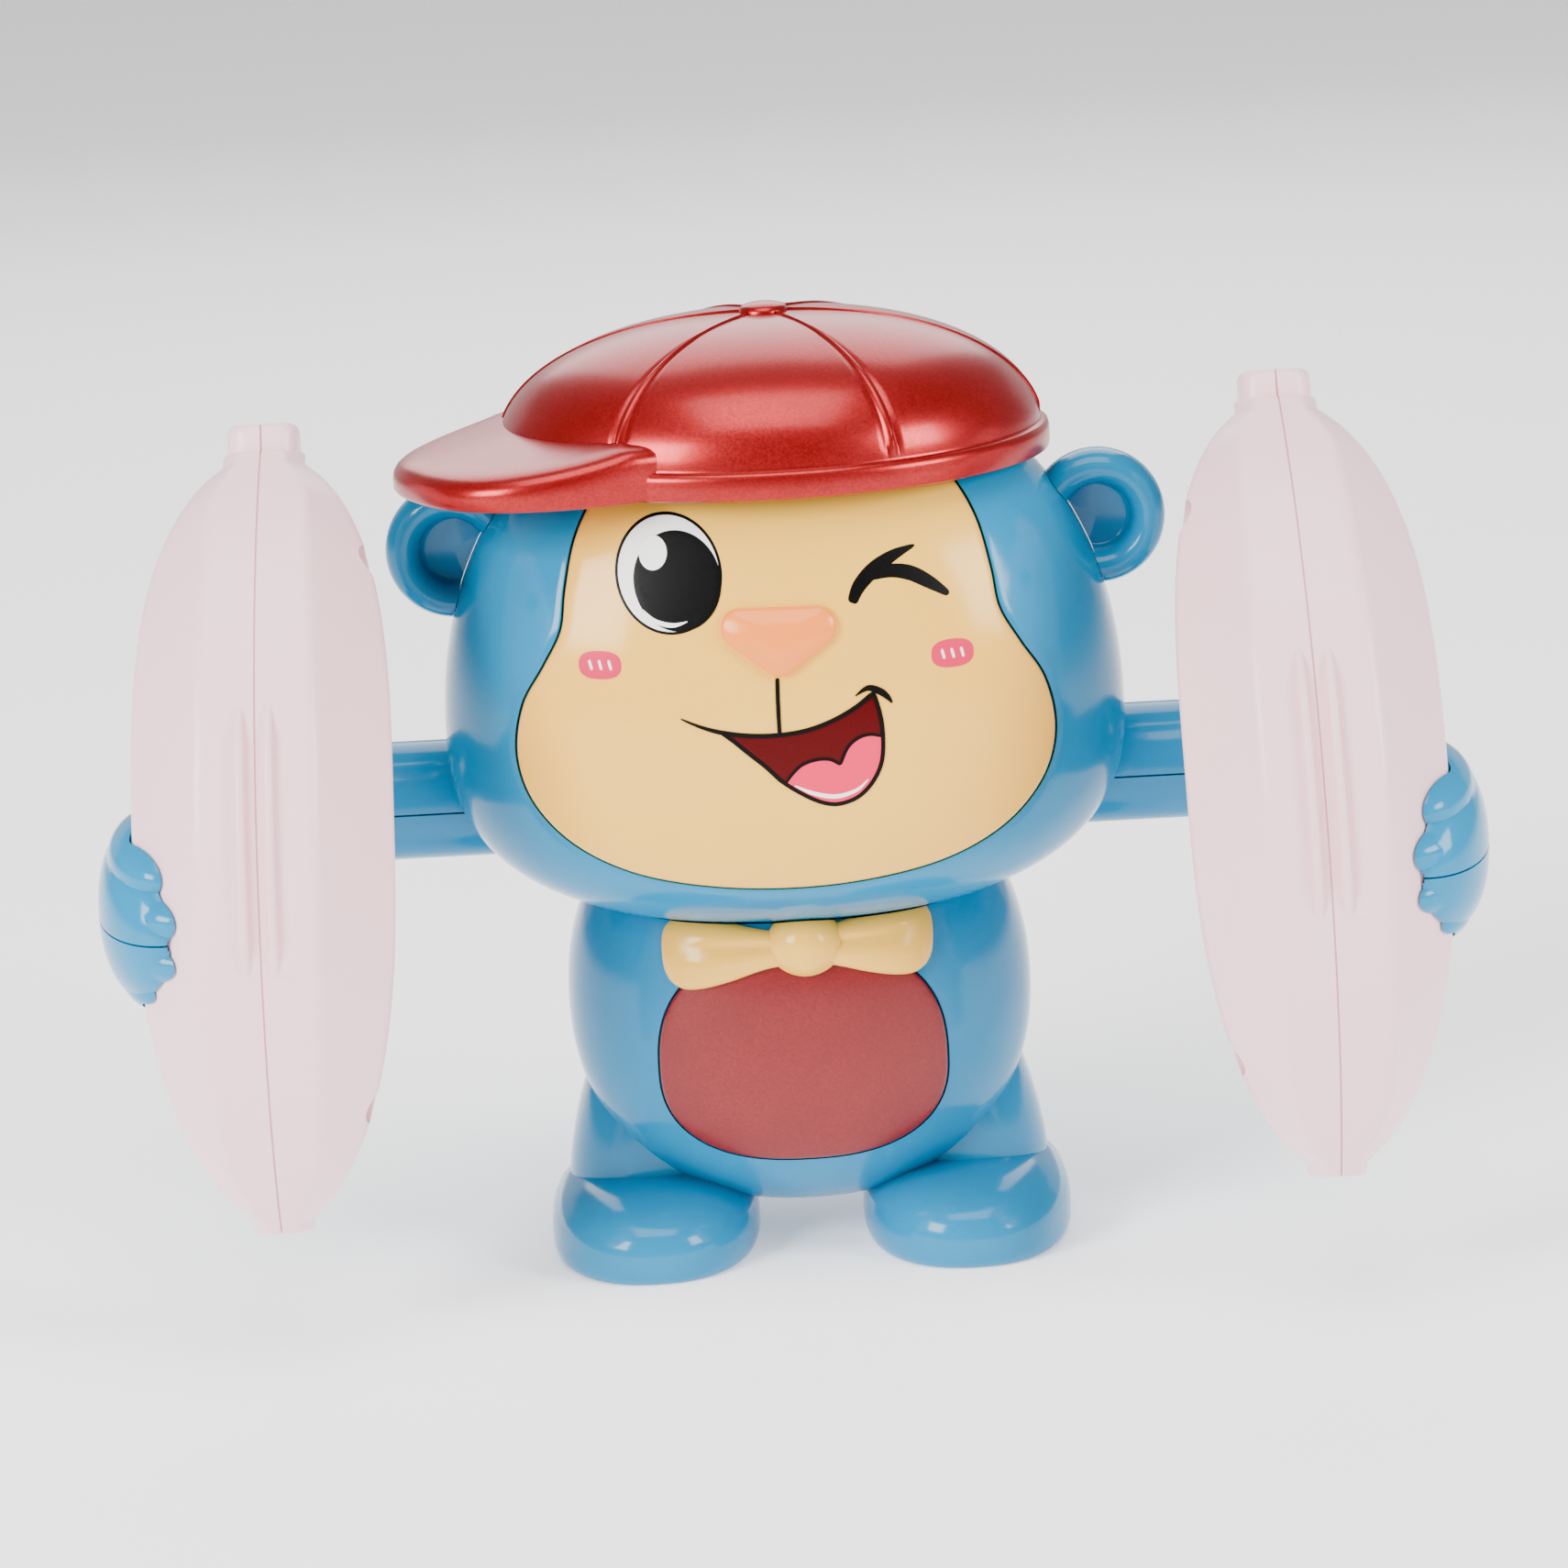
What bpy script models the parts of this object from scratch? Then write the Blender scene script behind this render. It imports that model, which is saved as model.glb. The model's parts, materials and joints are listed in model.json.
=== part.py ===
"""Battery-driven tumbling monkey toy, built as the separate pieces that it is assembled from.

Millimetres in a toy frame: side (+ to the toy's left), forward of the axle, and height above
the floor.  `world` turns them into metres with +Z up, the toy facing -Y, and the origin on the
floor below the middle of the bounding box.
"""
import math

import bmesh
import bpy
from mathutils import Matrix, Vector

# ---------------------------------------------------------------- driving dimensions (mm)
AXLE_HEIGHT = 74.5
AXLE_Y = 27.0                  # the axle's place behind the origin, so the box is centred
GAP = 0.3                      # between pieces that touch
WALL = 2.0
BIG = 400.0                    # longer than the toy, for cutters
WELD = 0.000004                # metres: points closer than this are one point

# level, half width, half depth, height above and below the level, exponents above and below
HEAD = dict(forward=14.0, level=88.5, width=54.2, depth=38.5, up=57.0, down=31.5, top=2.2, base=2.5)
TORSO = dict(forward=2.5, level=41.2, width=37.7, depth=30.5, up=36.5, down=35.2, top=2.2, base=2.2)
EGG_SQUARENESS = 2.3
HEAD_SPLIT = 11.2              # forward place of the joint between the head's shells
BODY_SPLIT = 0.0

FOOT_SIDE, FOOT_FORWARD, FOOT_WIDTH, FOOT_DEPTH, FOOT_HEIGHT = 25.5, 5.5, 17.0, 28.0, 13.0
LEG_SIDE, LEG_FORWARD, LEG_WIDTH, LEG_DEPTH, LEG_TOP = 26.0, 0.5, 13.0, 16.0, 36.0

CAP_RIM = 130.0
CAP_FORWARD, CAP_WIDTH, CAP_DEPTH, CAP_RISE = 12.5, 44.3, 38.5, 23.5
CAP_BAND = 4.6
BILL_TURN = math.radians(-64.0)
BILL_REACH, BILL_HALF_WIDTH, BILL_THICK = 18.0, 25.0, 3.4

EAR_SIDE, EAR_FORWARD, EAR_HEIGHT, EAR_RADIUS, EAR_CUP = 51.2, 14.0, 118.2, 10.8, 5.4

ARM_RADIUS = 9.6
ARM_START = 47.5
ARM_TILT = math.radians(-2.5)  # the arm's own plane, at rest, below level
ELBOW_SIDE = 87.0
HAND_SIDE, HAND_FORWARD, HAND_TIP = 97.0, 49.0, 92.0
HAND_SIZE = (13.0, 27.0, 15.5)
HAND_THICK = 6.6                # over the banana's outer side
SHOULDER_END = 47.0

BANANA_SIDE = 80.5
BANANA_TILT = math.radians(13.8)
BANANA_LEAN = math.radians(1.5)
BANANA_BACK_AT = (48.3, 5.6)   # forward of and above the axle
BANANA_HALF = 60.0
BANANA_APEX = 31.2
BANANA_ARC = 76.6
BANANA_WIDTH = 20.2
BANANA_STUB = 5.0
RIB_SIDE = 2.2

MODULE = 0.8
PINION_TEETH, WHEEL_TEETH, FINAL_TEETH = 8, 24, 26
AXLE_RADIUS, PIN_RADIUS = 2.0, 1.0

BATTERY_RADIUS, BATTERY_LENGTH, BATTERY_FORWARD = 5.25, 44.5, -8.0
BATTERY_HEIGHTS = (23.0, 33.9, 44.8)
COVER_HALF, COVER_LOW, COVER_HIGH = 24.5, 17.0, 51.0
SWITCH_HEIGHT = 56.8
SCREW_HEAD, SCREW_SHANK, SCREW_HEAD_DEEP = 2.6, 1.25, 1.6

# ---------------------------------------------------------------- finishes: colour, rough, metal
BLUE = ((0.020, 0.290, 0.480, 1.0), 0.25, 0.0)
CREAM = ((0.900, 0.720, 0.420, 1.0), 0.28, 0.0)
PEARL_RED = ((0.420, 0.045, 0.050, 1.0), 0.30, 0.4)
PINK = ((0.900, 0.700, 0.720, 1.0), 0.32, 0.0)
PEACH = ((0.950, 0.520, 0.280, 1.0), 0.30, 0.0)
STEEL = ((0.560, 0.570, 0.580, 1.0), 0.30, 1.0)
BRASS = ((0.720, 0.520, 0.220, 1.0), 0.30, 1.0)
NYLON = ((0.850, 0.840, 0.800, 1.0), 0.45, 0.0)
BLACK = ((0.020, 0.020, 0.022, 1.0), 0.50, 0.0)
GREEN = ((0.020, 0.180, 0.060, 1.0), 0.45, 0.0)
GREY = ((0.300, 0.310, 0.320, 1.0), 0.50, 0.0)


# ---------------------------------------------------------------- frame and mesh helpers
def world(side, forward, height):
    """A point of the toy frame, in metres."""
    return Vector((side, AXLE_Y - forward, height)) * 0.001


def material(name, finish):
    """A Principled material with the piece's colour, roughness and metallic value."""
    colour, rough, metal = finish
    made = bpy.data.materials.new(name)
    made.use_nodes = True
    shader = made.node_tree.nodes["Principled BSDF"]
    shader.inputs["Base Color"].default_value = colour
    shader.inputs["Roughness"].default_value = rough
    shader.inputs["Metallic"].default_value = metal
    return made


def solid(name, rings):
    """A closed body through rings of toy-frame points that all hold the same number of points."""
    work = bmesh.new()
    loops = [[work.verts.new(world(*point)) for point in ring] for ring in rings]
    for low, high in zip(loops, loops[1:]):
        for here in range(len(low)):
            after = (here + 1) % len(low)
            work.faces.new((low[here], low[after], high[after], high[here]))
    work.faces.new(loops[0])
    work.faces.new(loops[-1])
    bmesh.ops.recalc_face_normals(work, faces=work.faces)
    return finish_mesh(name, work)


def hull(name, points):
    """The convex body round a set of toy-frame points."""
    work = bmesh.new()
    for point in points:
        work.verts.new(world(*point))
    result = bmesh.ops.convex_hull(work, input=work.verts)
    loose = [item for item in result["geom_interior"] if isinstance(item, bmesh.types.BMVert)]
    bmesh.ops.delete(work, geom=loose, context="VERTS")
    bmesh.ops.recalc_face_normals(work, faces=work.faces)
    return finish_mesh(name, work)


def finish_mesh(name, work):
    """Write a bmesh into a new object of the scene."""
    mesh = bpy.data.meshes.new(name)
    work.to_mesh(mesh)
    work.free()
    made = bpy.data.objects.new(name, mesh)
    bpy.context.scene.collection.objects.link(made)
    return made


def circle(radius, count, turn=0.0):
    """Points of a circle in a plane."""
    angles = [turn + 2 * math.pi * step / count for step in range(count)]
    return [(radius * math.cos(angle), radius * math.sin(angle)) for angle in angles]


def power(value, exponent):
    """A signed power, for superellipses."""
    return math.copysign(abs(value) ** exponent, value)


def oval(width, depth, count, square=2.0):
    """Points of a superellipse in a plane."""
    angles = [2 * math.pi * (step + 0.5) / count for step in range(count)]
    inverse = 2.0 / square
    return [(width * power(math.cos(a), inverse), depth * power(math.sin(a), inverse)) for a in angles]


def rod(name, axis, start, end, radius, at, count=16):
    """A cylinder along `side`, `forward` or `height`; `at` gives its two other coordinates."""
    rings = []
    for place in (start, end):
        ring = []
        for a, b in circle(radius, count):
            if axis == "side":
                ring.append((place, at[0] + a, at[1] + b))
            elif axis == "forward":
                ring.append((at[0] + a, place, at[1] + b))
            else:
                ring.append((at[0] + a, at[1] + b, place))
        rings.append(ring)
    return solid(name, rings)


def turned(name, axis, profile, at, count=16):
    """A stack of (place, radius) rings along `side` or `forward`."""
    rings = []
    for place, radius in profile:
        if axis == "side":
            rings.append([(place, at[0] + a, at[1] + b) for a, b in circle(radius, count)])
        else:
            rings.append([(at[0] + a, place, at[1] + b) for a, b in circle(radius, count)])
    return solid(name, rings)


def block(name, sides, forwards, heights):
    """A box between pairs of toy-frame coordinates."""
    rings = []
    for height in heights:
        low, high = sides
        rear, front = forwards
        rings.append([(low, rear, height), (high, rear, height), (high, front, height), (low, front, height)])
    return solid(name, rings)


def prism(name, outline, forwards):
    """An outline of (side, height) points drawn along the forward direction."""
    return solid(name, [[(side, forward, height) for side, height in outline] for forward in forwards])


def weld(mesh):
    """Merge the near-coincident points and slivers that a cut can leave."""
    work = bmesh.new()
    work.from_mesh(mesh)
    bmesh.ops.remove_doubles(work, verts=work.verts, dist=WELD)
    bmesh.ops.dissolve_degenerate(work, edges=work.edges, dist=WELD)
    work.to_mesh(mesh)
    work.free()
    return mesh


def combine(target, tool, how):
    """Boolean one object with another, keep the result in the first and remove the second."""
    change = target.modifiers.new(how, "BOOLEAN")
    change.operation = how
    change.solver = "EXACT"
    change.object = tool
    evaluated = target.evaluated_get(bpy.context.evaluated_depsgraph_get())
    mesh = bpy.data.meshes.new_from_object(evaluated)
    target.modifiers.clear()
    target.data = weld(mesh)
    bpy.data.objects.remove(tool)
    return target


def cut(target, tool):
    return combine(target, tool, "DIFFERENCE")


def join(target, tool):
    return combine(target, tool, "UNION")


def keep(target, tool):
    return combine(target, tool, "INTERSECT")


def copy_of(source, name):
    """A second object with its own mesh."""
    made = source.copy()
    made.data = source.data.copy()
    made.name = name
    bpy.context.scene.collection.objects.link(made)
    return made


def named(piece, name, finish):
    """Give a finished piece its node name, its material and smooth round faces."""
    piece.name = name
    piece.data.name = name
    piece.data.materials.clear()
    piece.data.materials.append(material(name, finish))
    piece.data.shade_smooth()
    piece.data.set_sharp_from_angle(angle=math.radians(35.0))
    return piece


# ---------------------------------------------------------------- egg-shaped head and torso
def egg(name, shape, grow=0.0, count=24, levels=8):
    """The head's or torso's egg, `grow` larger all round, as rings from its base to its top."""
    rings = []
    up, down = shape["up"] + grow, shape["down"] + grow
    for step in range(levels + 1):
        angle = math.pi * (step / levels - 0.5)
        rise = math.sin(angle) * 0.998
        exponent = shape["top"] if rise > 0 else shape["base"]
        scale = (1 - abs(rise) ** exponent) ** (1 / exponent)
        height = shape["level"] + rise * (up if rise > 0 else down)
        ring = oval((shape["width"] + grow) * scale, (shape["depth"] + grow) * scale, count, EGG_SQUARENESS)
        rings.append([(a, shape["forward"] + b, height) for a, b in ring])
    return solid(name, rings)


def front_half(name, split):
    return block(name, (-BIG, BIG), (split + GAP / 2, BIG), (-BIG, BIG))


def rear_half(name, split):
    return block(name, (-BIG, BIG), (-BIG, split - GAP / 2), (-BIG, BIG))


# ---------------------------------------------------------------- torso, legs and feet
def foot(name, side, grow):
    """A domed foot; a negative `grow` gives the hollow inside it."""
    rings = []
    low = 0.0 if grow == 0 else WALL
    for height, scale in ((low, 0.93), (low + 2.5, 1.0), (FOOT_HEIGHT * 0.65, 0.97), (FOOT_HEIGHT + grow, 0.72)):
        ring = oval(FOOT_WIDTH * scale + grow, FOOT_DEPTH * scale + grow, 16, 2.3)
        rings.append([(side * FOOT_SIDE + a, FOOT_FORWARD + b, height) for a, b in ring])
    return solid(name, rings)


def leg(name, side, grow):
    """The bulge from the torso down to the foot."""
    rings = []
    for height, scale in ((5.0, 0.92), (14.0, 1.0), (25.0, 0.92), (LEG_TOP, 0.62)):
        ring = oval(LEG_WIDTH * scale + grow, LEG_DEPTH * scale + grow, 12, 2.3)
        lean = side * (LEG_SIDE - 0.15 * (height - 14.0))
        rings.append([(lean + a, LEG_FORWARD + b, height) for a, b in ring])
    return solid(name, rings)


def body_form(name, grow):
    """Torso, legs and feet as one body, or the hollow inside them."""
    form = egg(name, TORSO, grow)
    for side in (-1, 1):
        join(form, leg("leg", side, grow))
        join(form, foot("foot", side, grow))
    return form


BODY_SCREWS = [(-30.5, 53.0), (30.5, 53.0), (-31.0, 17.0), (31.0, 17.0)]
HEAD_SCREWS = [(-41.0, 100.0), (41.0, 100.0)]
BODY_SEAT, HEAD_SEAT = -8.0, -2.0        # where the screw heads sit


def screw_bosses(shell, places, span, seat, tip, form):
    """Pillars that end inside the wall, each with a hole and a well for its screw."""
    for side, height in places:
        pillar = rod("pillar", "forward", span[0], span[1], 4.0, (side, height), 10)
        join(shell, keep(pillar, copy_of(form, "form")))
        cut(shell, rod("well", "forward", -BIG, seat, SCREW_HEAD + 0.4, (side, height), 10))
        cut(shell, rod("hole", "forward", seat - 1, tip, SCREW_SHANK + GAP, (side, height), 8))
    return shell


def screw(name, side, height, seat, length):
    """A pan-head screw driven forwards."""
    head = seat - GAP
    profile = [(head - SCREW_HEAD_DEEP, SCREW_HEAD * 0.8), (head - SCREW_HEAD_DEEP * 0.6, SCREW_HEAD),
               (head, SCREW_HEAD), (head + 0.01, SCREW_SHANK), (head + length, SCREW_SHANK * 0.8)]
    return named(turned(name, "forward", profile, (side, height), 8), name, STEEL)


def belly_outline(grow):
    """The belly panel's edge: a superellipse, higher above its middle than below, flat on top."""
    middle, half_width, above, below, top = 34.6, 23.0, 20.0, 16.3, 53.0
    points = []
    for a, b in oval(1.0, 1.0, 24, 2.5):
        reach = above if b > 0 else below
        points.append((a * (half_width + grow), min(middle + b * (reach + grow), top + grow)))
    return points


def torso_pieces():
    """The body's two shells and what fits into them."""
    shell = body_form("shell", 0.0)
    cut(shell, body_form("inner", -WALL))
    mid_wall = body_form("mid_wall", -WALL / 2)
    screw_bosses(shell, BODY_SCREWS, (-24.0, 40.0), BODY_SEAT, 11.0, mid_wall)
    bpy.data.objects.remove(mid_wall)
    cut(shell, egg("head_room", HEAD, GAP))
    front = keep(copy_of(shell, "front"), front_half("half", BODY_SPLIT))
    rear = keep(shell, rear_half("half", BODY_SPLIT))

    recess = prism("recess", belly_outline(GAP), (5.0, 60.0))
    cut(recess, egg("under", TORSO, -1.2))
    cut(front, recess)
    panel = prism("panel", belly_outline(0.0), (5.0, 60.0))
    keep(panel, egg("face", TORSO, 0.4))
    cut(panel, egg("under", TORSO, -0.9))
    named(panel, "belly_panel", PEARL_RED)

    cover_sides, cover_heights = (-COVER_HALF, COVER_HALF), (COVER_LOW, COVER_HIGH)
    cut(rear, block("window", cover_sides, (-60, -5), cover_heights))
    slot = block("slot", (-4.2, 4.2), (-60, -18), (SWITCH_HEIGHT - 1.8, SWITCH_HEIGHT + 1.8))
    cut(rear, slot)

    named(front, "body_front_shell", BLUE)
    named(rear, "body_rear_shell", BLUE)
    for index, (side, height) in enumerate(BODY_SCREWS, 1):
        screw(f"body_screw_{index}", side, height, BODY_SEAT, 14.0)


def bow_tie():
    """A moulded bow over the neckline: two lobes that narrow to a knot."""
    rings = []
    for side, half in ((-21, 4.6), (-18, 5.8), (-11, 4.6), (-5, 2.8), (5, 2.8), (11, 4.6), (18, 5.8), (21, 4.6)):
        height = 54.6 + 0.02 * side
        depth = 30.5 - 0.008 * side * side + half * 0.35
        rings.append([(side, depth * 0.7, height - half), (side, depth - 1.0, height - half),
                      (side, depth + 0.8, height - half * 0.5), (side, depth + 0.8, height + half * 0.5),
                      (side, depth - 1.0, height + half), (side, depth * 0.7, height + half)])
    bow = solid("bow", rings)
    knot = turned("knot", "forward", [(24, 6.2), (31, 6.2), (33.6, 4.6), (34.6, 1.6)], (1.5, 55.2), 14)
    join(bow, knot)
    cut(bow, egg("torso", TORSO, 0.8))
    cut(bow, egg("head", HEAD, GAP))
    named(bow, "bow_tie", CREAM)


# ---------------------------------------------------------------- head
FACE_TOP = 129.4
FACE_POINTS = [(27.5, FACE_TOP), (32.2, 120.0), (33.6, 113.0), (34.4, 108.0), (38.8, 102.0), (42.0, 94.5),
               (41.8, 88.0), (38.5, 80.5), (32.5, 74.8), (24.0, 71.0), (12.0, 68.8), (0.0, 68.0)]


def face_outline(grow):
    """The face plate's edge: brow lobes above and a wide muzzle below, the same on both sides."""
    left = [(-side, height) for side, height in reversed(FACE_POINTS[:-1])]
    return offset(FACE_POINTS + left, grow)


def offset(outline, grow):
    """Move each point of a clockwise outline outwards, square to its neighbours."""
    moved = []
    for index, point in enumerate(outline):
        before, after = Vector(outline[index - 1]), Vector(outline[(index + 1) % len(outline)])
        along = (after - before).normalized()
        moved.append((point[0] - along.y * grow, point[1] + along.x * grow))
    return moved


def shoulder(side):
    """The round boss that the arm turns against."""
    ends = (side * 38.0, side * SHOULDER_END)
    return rod("shoulder", "side", ends[0], ends[1], ARM_RADIUS, (0.0, AXLE_HEIGHT), 24)


def head_pieces():
    """The head's two shells, the face plate, and the nose."""
    shell = cut(egg("shell", HEAD), egg("inner", HEAD, -WALL))
    mid_wall = egg("mid_wall", HEAD, -WALL / 2)
    screw_bosses(shell, HEAD_SCREWS, (-30.0, 60.0), HEAD_SEAT, 22.0, mid_wall)
    bpy.data.objects.remove(mid_wall)
    cut(shell, rod("wire_hole", "height", 50.0, 66.0, 6.0, (0.0, 20.0), 12))
    front = keep(copy_of(shell, "front"), front_half("half", HEAD_SPLIT))
    rear = keep(shell, rear_half("half", HEAD_SPLIT))

    recess = prism("recess", face_outline(GAP), (25.0, 80.0))
    cut(recess, egg("under", HEAD, -1.3))
    cut(front, recess)
    plate = prism("plate", face_outline(0.0), (25.0, 80.0))
    keep(plate, egg("face", HEAD, 0.5, 32, 12))
    cut(plate, egg("under", HEAD, -1.0))
    named(plate, "face_plate", CREAM)

    for side in (-1, 1):
        join(rear, shoulder(side))
        ends = (side * (SHOULDER_END + 0.2), side * 80.0)
        cut(rear, rod("pocket", "side", ends[0], ends[1], ARM_RADIUS + 1.0, (0.0, AXLE_HEIGHT), 24))
        ends = (side * 30.0, side * 60.0)
        cut(rear, rod("bore", "side", ends[0], ends[1], 4.3, (0.0, AXLE_HEIGHT), 16))
    named(front, "head_front_shell", BLUE)
    named(rear, "head_rear_shell", BLUE)
    for index, (side, height) in enumerate(HEAD_SCREWS, 1):
        screw(f"head_screw_{index}", side, height, HEAD_SEAT, 20.0)


def nose():
    """A rounded triangle, point down, standing off the face plate."""
    corners = [(-6.6, 110.6), (6.0, 110.4), (-0.3, 105.6)]
    rings = []
    for forward, radius in ((46.0, 2.6), (51.6, 2.6), (53.0, 1.7), (53.6, 0.4)):
        ring = []
        for index, (side, height) in enumerate(corners):
            middle = math.radians((150, 30, -90)[index])
            for step in (-2, -1, 0, 1, 2):
                angle = middle - step * math.radians(26)
                ring.append((side + radius * math.cos(angle), forward, height + radius * math.sin(angle)))
        rings.append(ring)
    piece = cut(solid("nose", rings), egg("plate", HEAD, 0.5 + GAP, 32, 12))
    named(piece, "nose", PEACH)


def ears():
    """Two cupped rings at the sides of the head."""
    profile = [(-4.5, EAR_RADIUS - 3.0), (-3.0, EAR_RADIUS - 0.6), (0.0, EAR_RADIUS), (3.0, EAR_RADIUS - 0.6),
               (4.4, EAR_RADIUS - 2.6), (3.2, EAR_CUP + 0.4), (-0.5, EAR_CUP), (-1.0, EAR_CUP - 1.5)]
    for side, name in ((-1, "ear_right"), (1, "ear_left")):
        placed = [(EAR_FORWARD + place, radius) for place, radius in profile]
        ear = turned("ear", "forward", placed, (side * EAR_SIDE, EAR_HEIGHT), 16)
        cut(ear, egg("head", HEAD, GAP))
        named(ear, name, BLUE)


def dome(name, grow, base):
    """The cap's crown above a level base."""
    rings = []
    for step in range(6):
        angle = math.radians(90.0) * step / 5.35
        scale = math.cos(angle) ** 0.85
        height = CAP_RIM + CAP_BAND + math.sin(angle) * (CAP_RISE - CAP_BAND + grow)
        rings.append((scale, height))
    rings.insert(0, (1.0, base))
    made = []
    for scale, height in rings:
        ring = oval((CAP_WIDTH - 1.2 + grow) * scale, (CAP_DEPTH - 1.2 + grow) * scale, 28)
        made.append([(a, CAP_FORWARD + b, height) for a, b in ring])
    return solid(name, made)


def bill():
    """A rounded plate that runs out from the rim, to one side of the face."""
    heading = Vector((math.sin(BILL_TURN), math.cos(BILL_TURN)))
    across = Vector((heading.y, -heading.x))
    root = Vector((CAP_WIDTH * heading.x, CAP_FORWARD + CAP_DEPTH * heading.y)) - heading * 14.0
    rings = []
    for height, scale in ((0.0, 0.95), (1.2, 1.0), (BILL_THICK * 0.8, 0.97), (BILL_THICK, 0.88)):
        ring = []
        for a, b in oval((BILL_REACH + 14.0) * scale, BILL_HALF_WIDTH * scale, 22, 2.5):
            place = root + heading * a + across * b
            ring.append((place.x, place.y, CAP_RIM + height + 0.05 * max(a, 0.0)))
        rings.append(ring)
    return solid("bill", rings)


def cap():
    """Crown, rim band, bill and button, hollow over the top of the head."""
    crown = dome("crown", 0.0, CAP_RIM)
    band = []
    for height, grow in ((0.0, 0.6), (1.2, 1.2), (CAP_BAND - 1.0, 1.2), (CAP_BAND, 0.2)):
        ring = oval(CAP_WIDTH - 1.2 + grow, CAP_DEPTH - 1.2 + grow, 28)
        band.append([(a, CAP_FORWARD + b, CAP_RIM + height) for a, b in ring])
    join(crown, solid("band", band))
    join(crown, bill())
    button = [(CAP_RIM + CAP_RISE - 3.0, 3.6), (CAP_RIM + CAP_RISE + 0.2, 3.6),
              (CAP_RIM + CAP_RISE + 1.2, 2.6), (CAP_RIM + CAP_RISE + 1.5, 1.0)]
    rings = [[(a, CAP_FORWARD + b, place) for a, b in circle(radius, 12)] for place, radius in button]
    join(crown, solid("button", rings))
    cut(crown, dome("hollow", -WALL, CAP_RIM + 1.8))
    cut(crown, egg("head", HEAD, GAP))
    named(crown, "cap", PEARL_RED)


# ---------------------------------------------------------------- bananas, in the arms' frame
def banana_width(along):
    """Half the width at a place along the banana; the top end is blunter."""
    ratio = min(abs(along) / (BANANA_HALF + 0.6), 1.0)
    if along > 0:
        return max(BANANA_WIDTH * (1 - ratio ** 3.4) ** 0.52, 6.5)
    return max(BANANA_WIDTH * (1 - ratio ** 2.6) ** 0.58, 4.0)


def banana_faces(along):
    """Front and back of the crescent at a place along it."""
    clipped = max(-BANANA_HALF, min(BANANA_HALF, along))
    front = BANANA_APEX - BANANA_ARC + math.sqrt(BANANA_ARC ** 2 - clipped ** 2)
    back = -0.8 - 13.0 * (clipped / BANANA_HALF) ** 2
    return front, back


def banana_section(along, grow, narrow=1.0):
    """(side, forward) points of one faceted section, round from the front's middle."""
    front, back = banana_faces(along)
    deep = front - back
    wide = banana_width(along) * narrow
    band = min(9.2 * (0.76 + 0.24 * math.cos(math.pi * along / 120.0)), wide * 0.62)
    half = [(band + grow * 0.6, front + grow), (wide + grow, front - deep * 0.43),
            (wide * 0.94 + grow, front - deep * 0.72), (wide * 0.68 + grow * 0.6, back - grow)]
    return half + [(-a, b) for a, b in reversed(half)]


def banana_place(side, a, b, along):
    """Turn a place in the banana's own frame into the toy frame."""
    leaning = -side * BANANA_LEAN
    across = a + math.sin(leaning) * along
    forward = BANANA_BACK_AT[0] + b * math.cos(BANANA_TILT) - along * math.sin(BANANA_TILT)
    height = AXLE_HEIGHT + BANANA_BACK_AT[1] + b * math.sin(BANANA_TILT) + along * math.cos(BANANA_TILT)
    return side * BANANA_SIDE + across, forward, height


BANANA_STATIONS = (-60.0, -57.0, -50.0, -38.0, -20.0, 0.0, 20.0, 38.0, 50.0, 57.0, 60.0)


def banana_form(name, side, grow, stub):
    """The whole banana; a negative `grow` gives the hollow inside it."""
    rings = []
    for along in BANANA_STATIONS:
        reach = along * (BANANA_HALF + grow) / BANANA_HALF
        rings.append([banana_place(side, a, b, reach) for a, b in banana_section(along, grow)])
    form = solid(name, rings)
    if stub:
        ends = []
        for along, size in ((BANANA_HALF - 3.0, 1.0), (BANANA_HALF + BANANA_STUB - 1.0, 1.0),
                            (BANANA_HALF + BANANA_STUB, 0.8)):
            outline = oval(5.6 * size, 6.0 * size, 16, 3.5)
            ends.append([banana_place(side, a, b - 5.5, along) for a, b in outline])
        join(form, solid("stub", ends))
    return form


def banana_ribs(form, side):
    """Two thin fins along the front band, one on each side of the seam."""
    for middle in (-RIB_SIDE, RIB_SIDE):
        rings = []
        for along, rise in ((-21.7, -0.7), (-19.3, 1.2), (0.7, 1.5), (19.6, 1.2), (21.9, -0.7)):
            level = banana_faces(along)[0]
            corners = ((middle - 0.7, level - 1.1), (middle + 0.7, level - 1.1),
                       (middle + 0.5, level + rise), (middle - 0.5, level + rise))
            rings.append([banana_place(side, a, b, along) for a, b in corners])
        join(form, solid("rib", rings))
    return form


def banana_half_space(name, side, outwards):
    """Everything on one side of the banana's seam plane."""
    sign = side if outwards else -side
    near, far = sign * GAP / 2, sign * BIG
    rings = []
    for along in (-BIG, BIG):
        corners = ((near, -BIG), (far, -BIG), (far, BIG), (near, BIG))
        rings.append([banana_place(side, a, b, along) for a, b in corners])
    return solid(name, rings)


BANANA_SCREWS = (-41.0, 42.0)


def banana_rod(name, side, along, start, end, radius, count=12):
    """A cylinder square to the banana's seam plane, in the middle of its thickness."""
    front, back = banana_faces(along)
    rings = []
    for place in (start, end):
        points = circle(radius, count)
        rings.append([banana_place(side, place, (front + back) / 2 + b, along + a) for a, b in points])
    return solid(name, rings)


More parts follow.
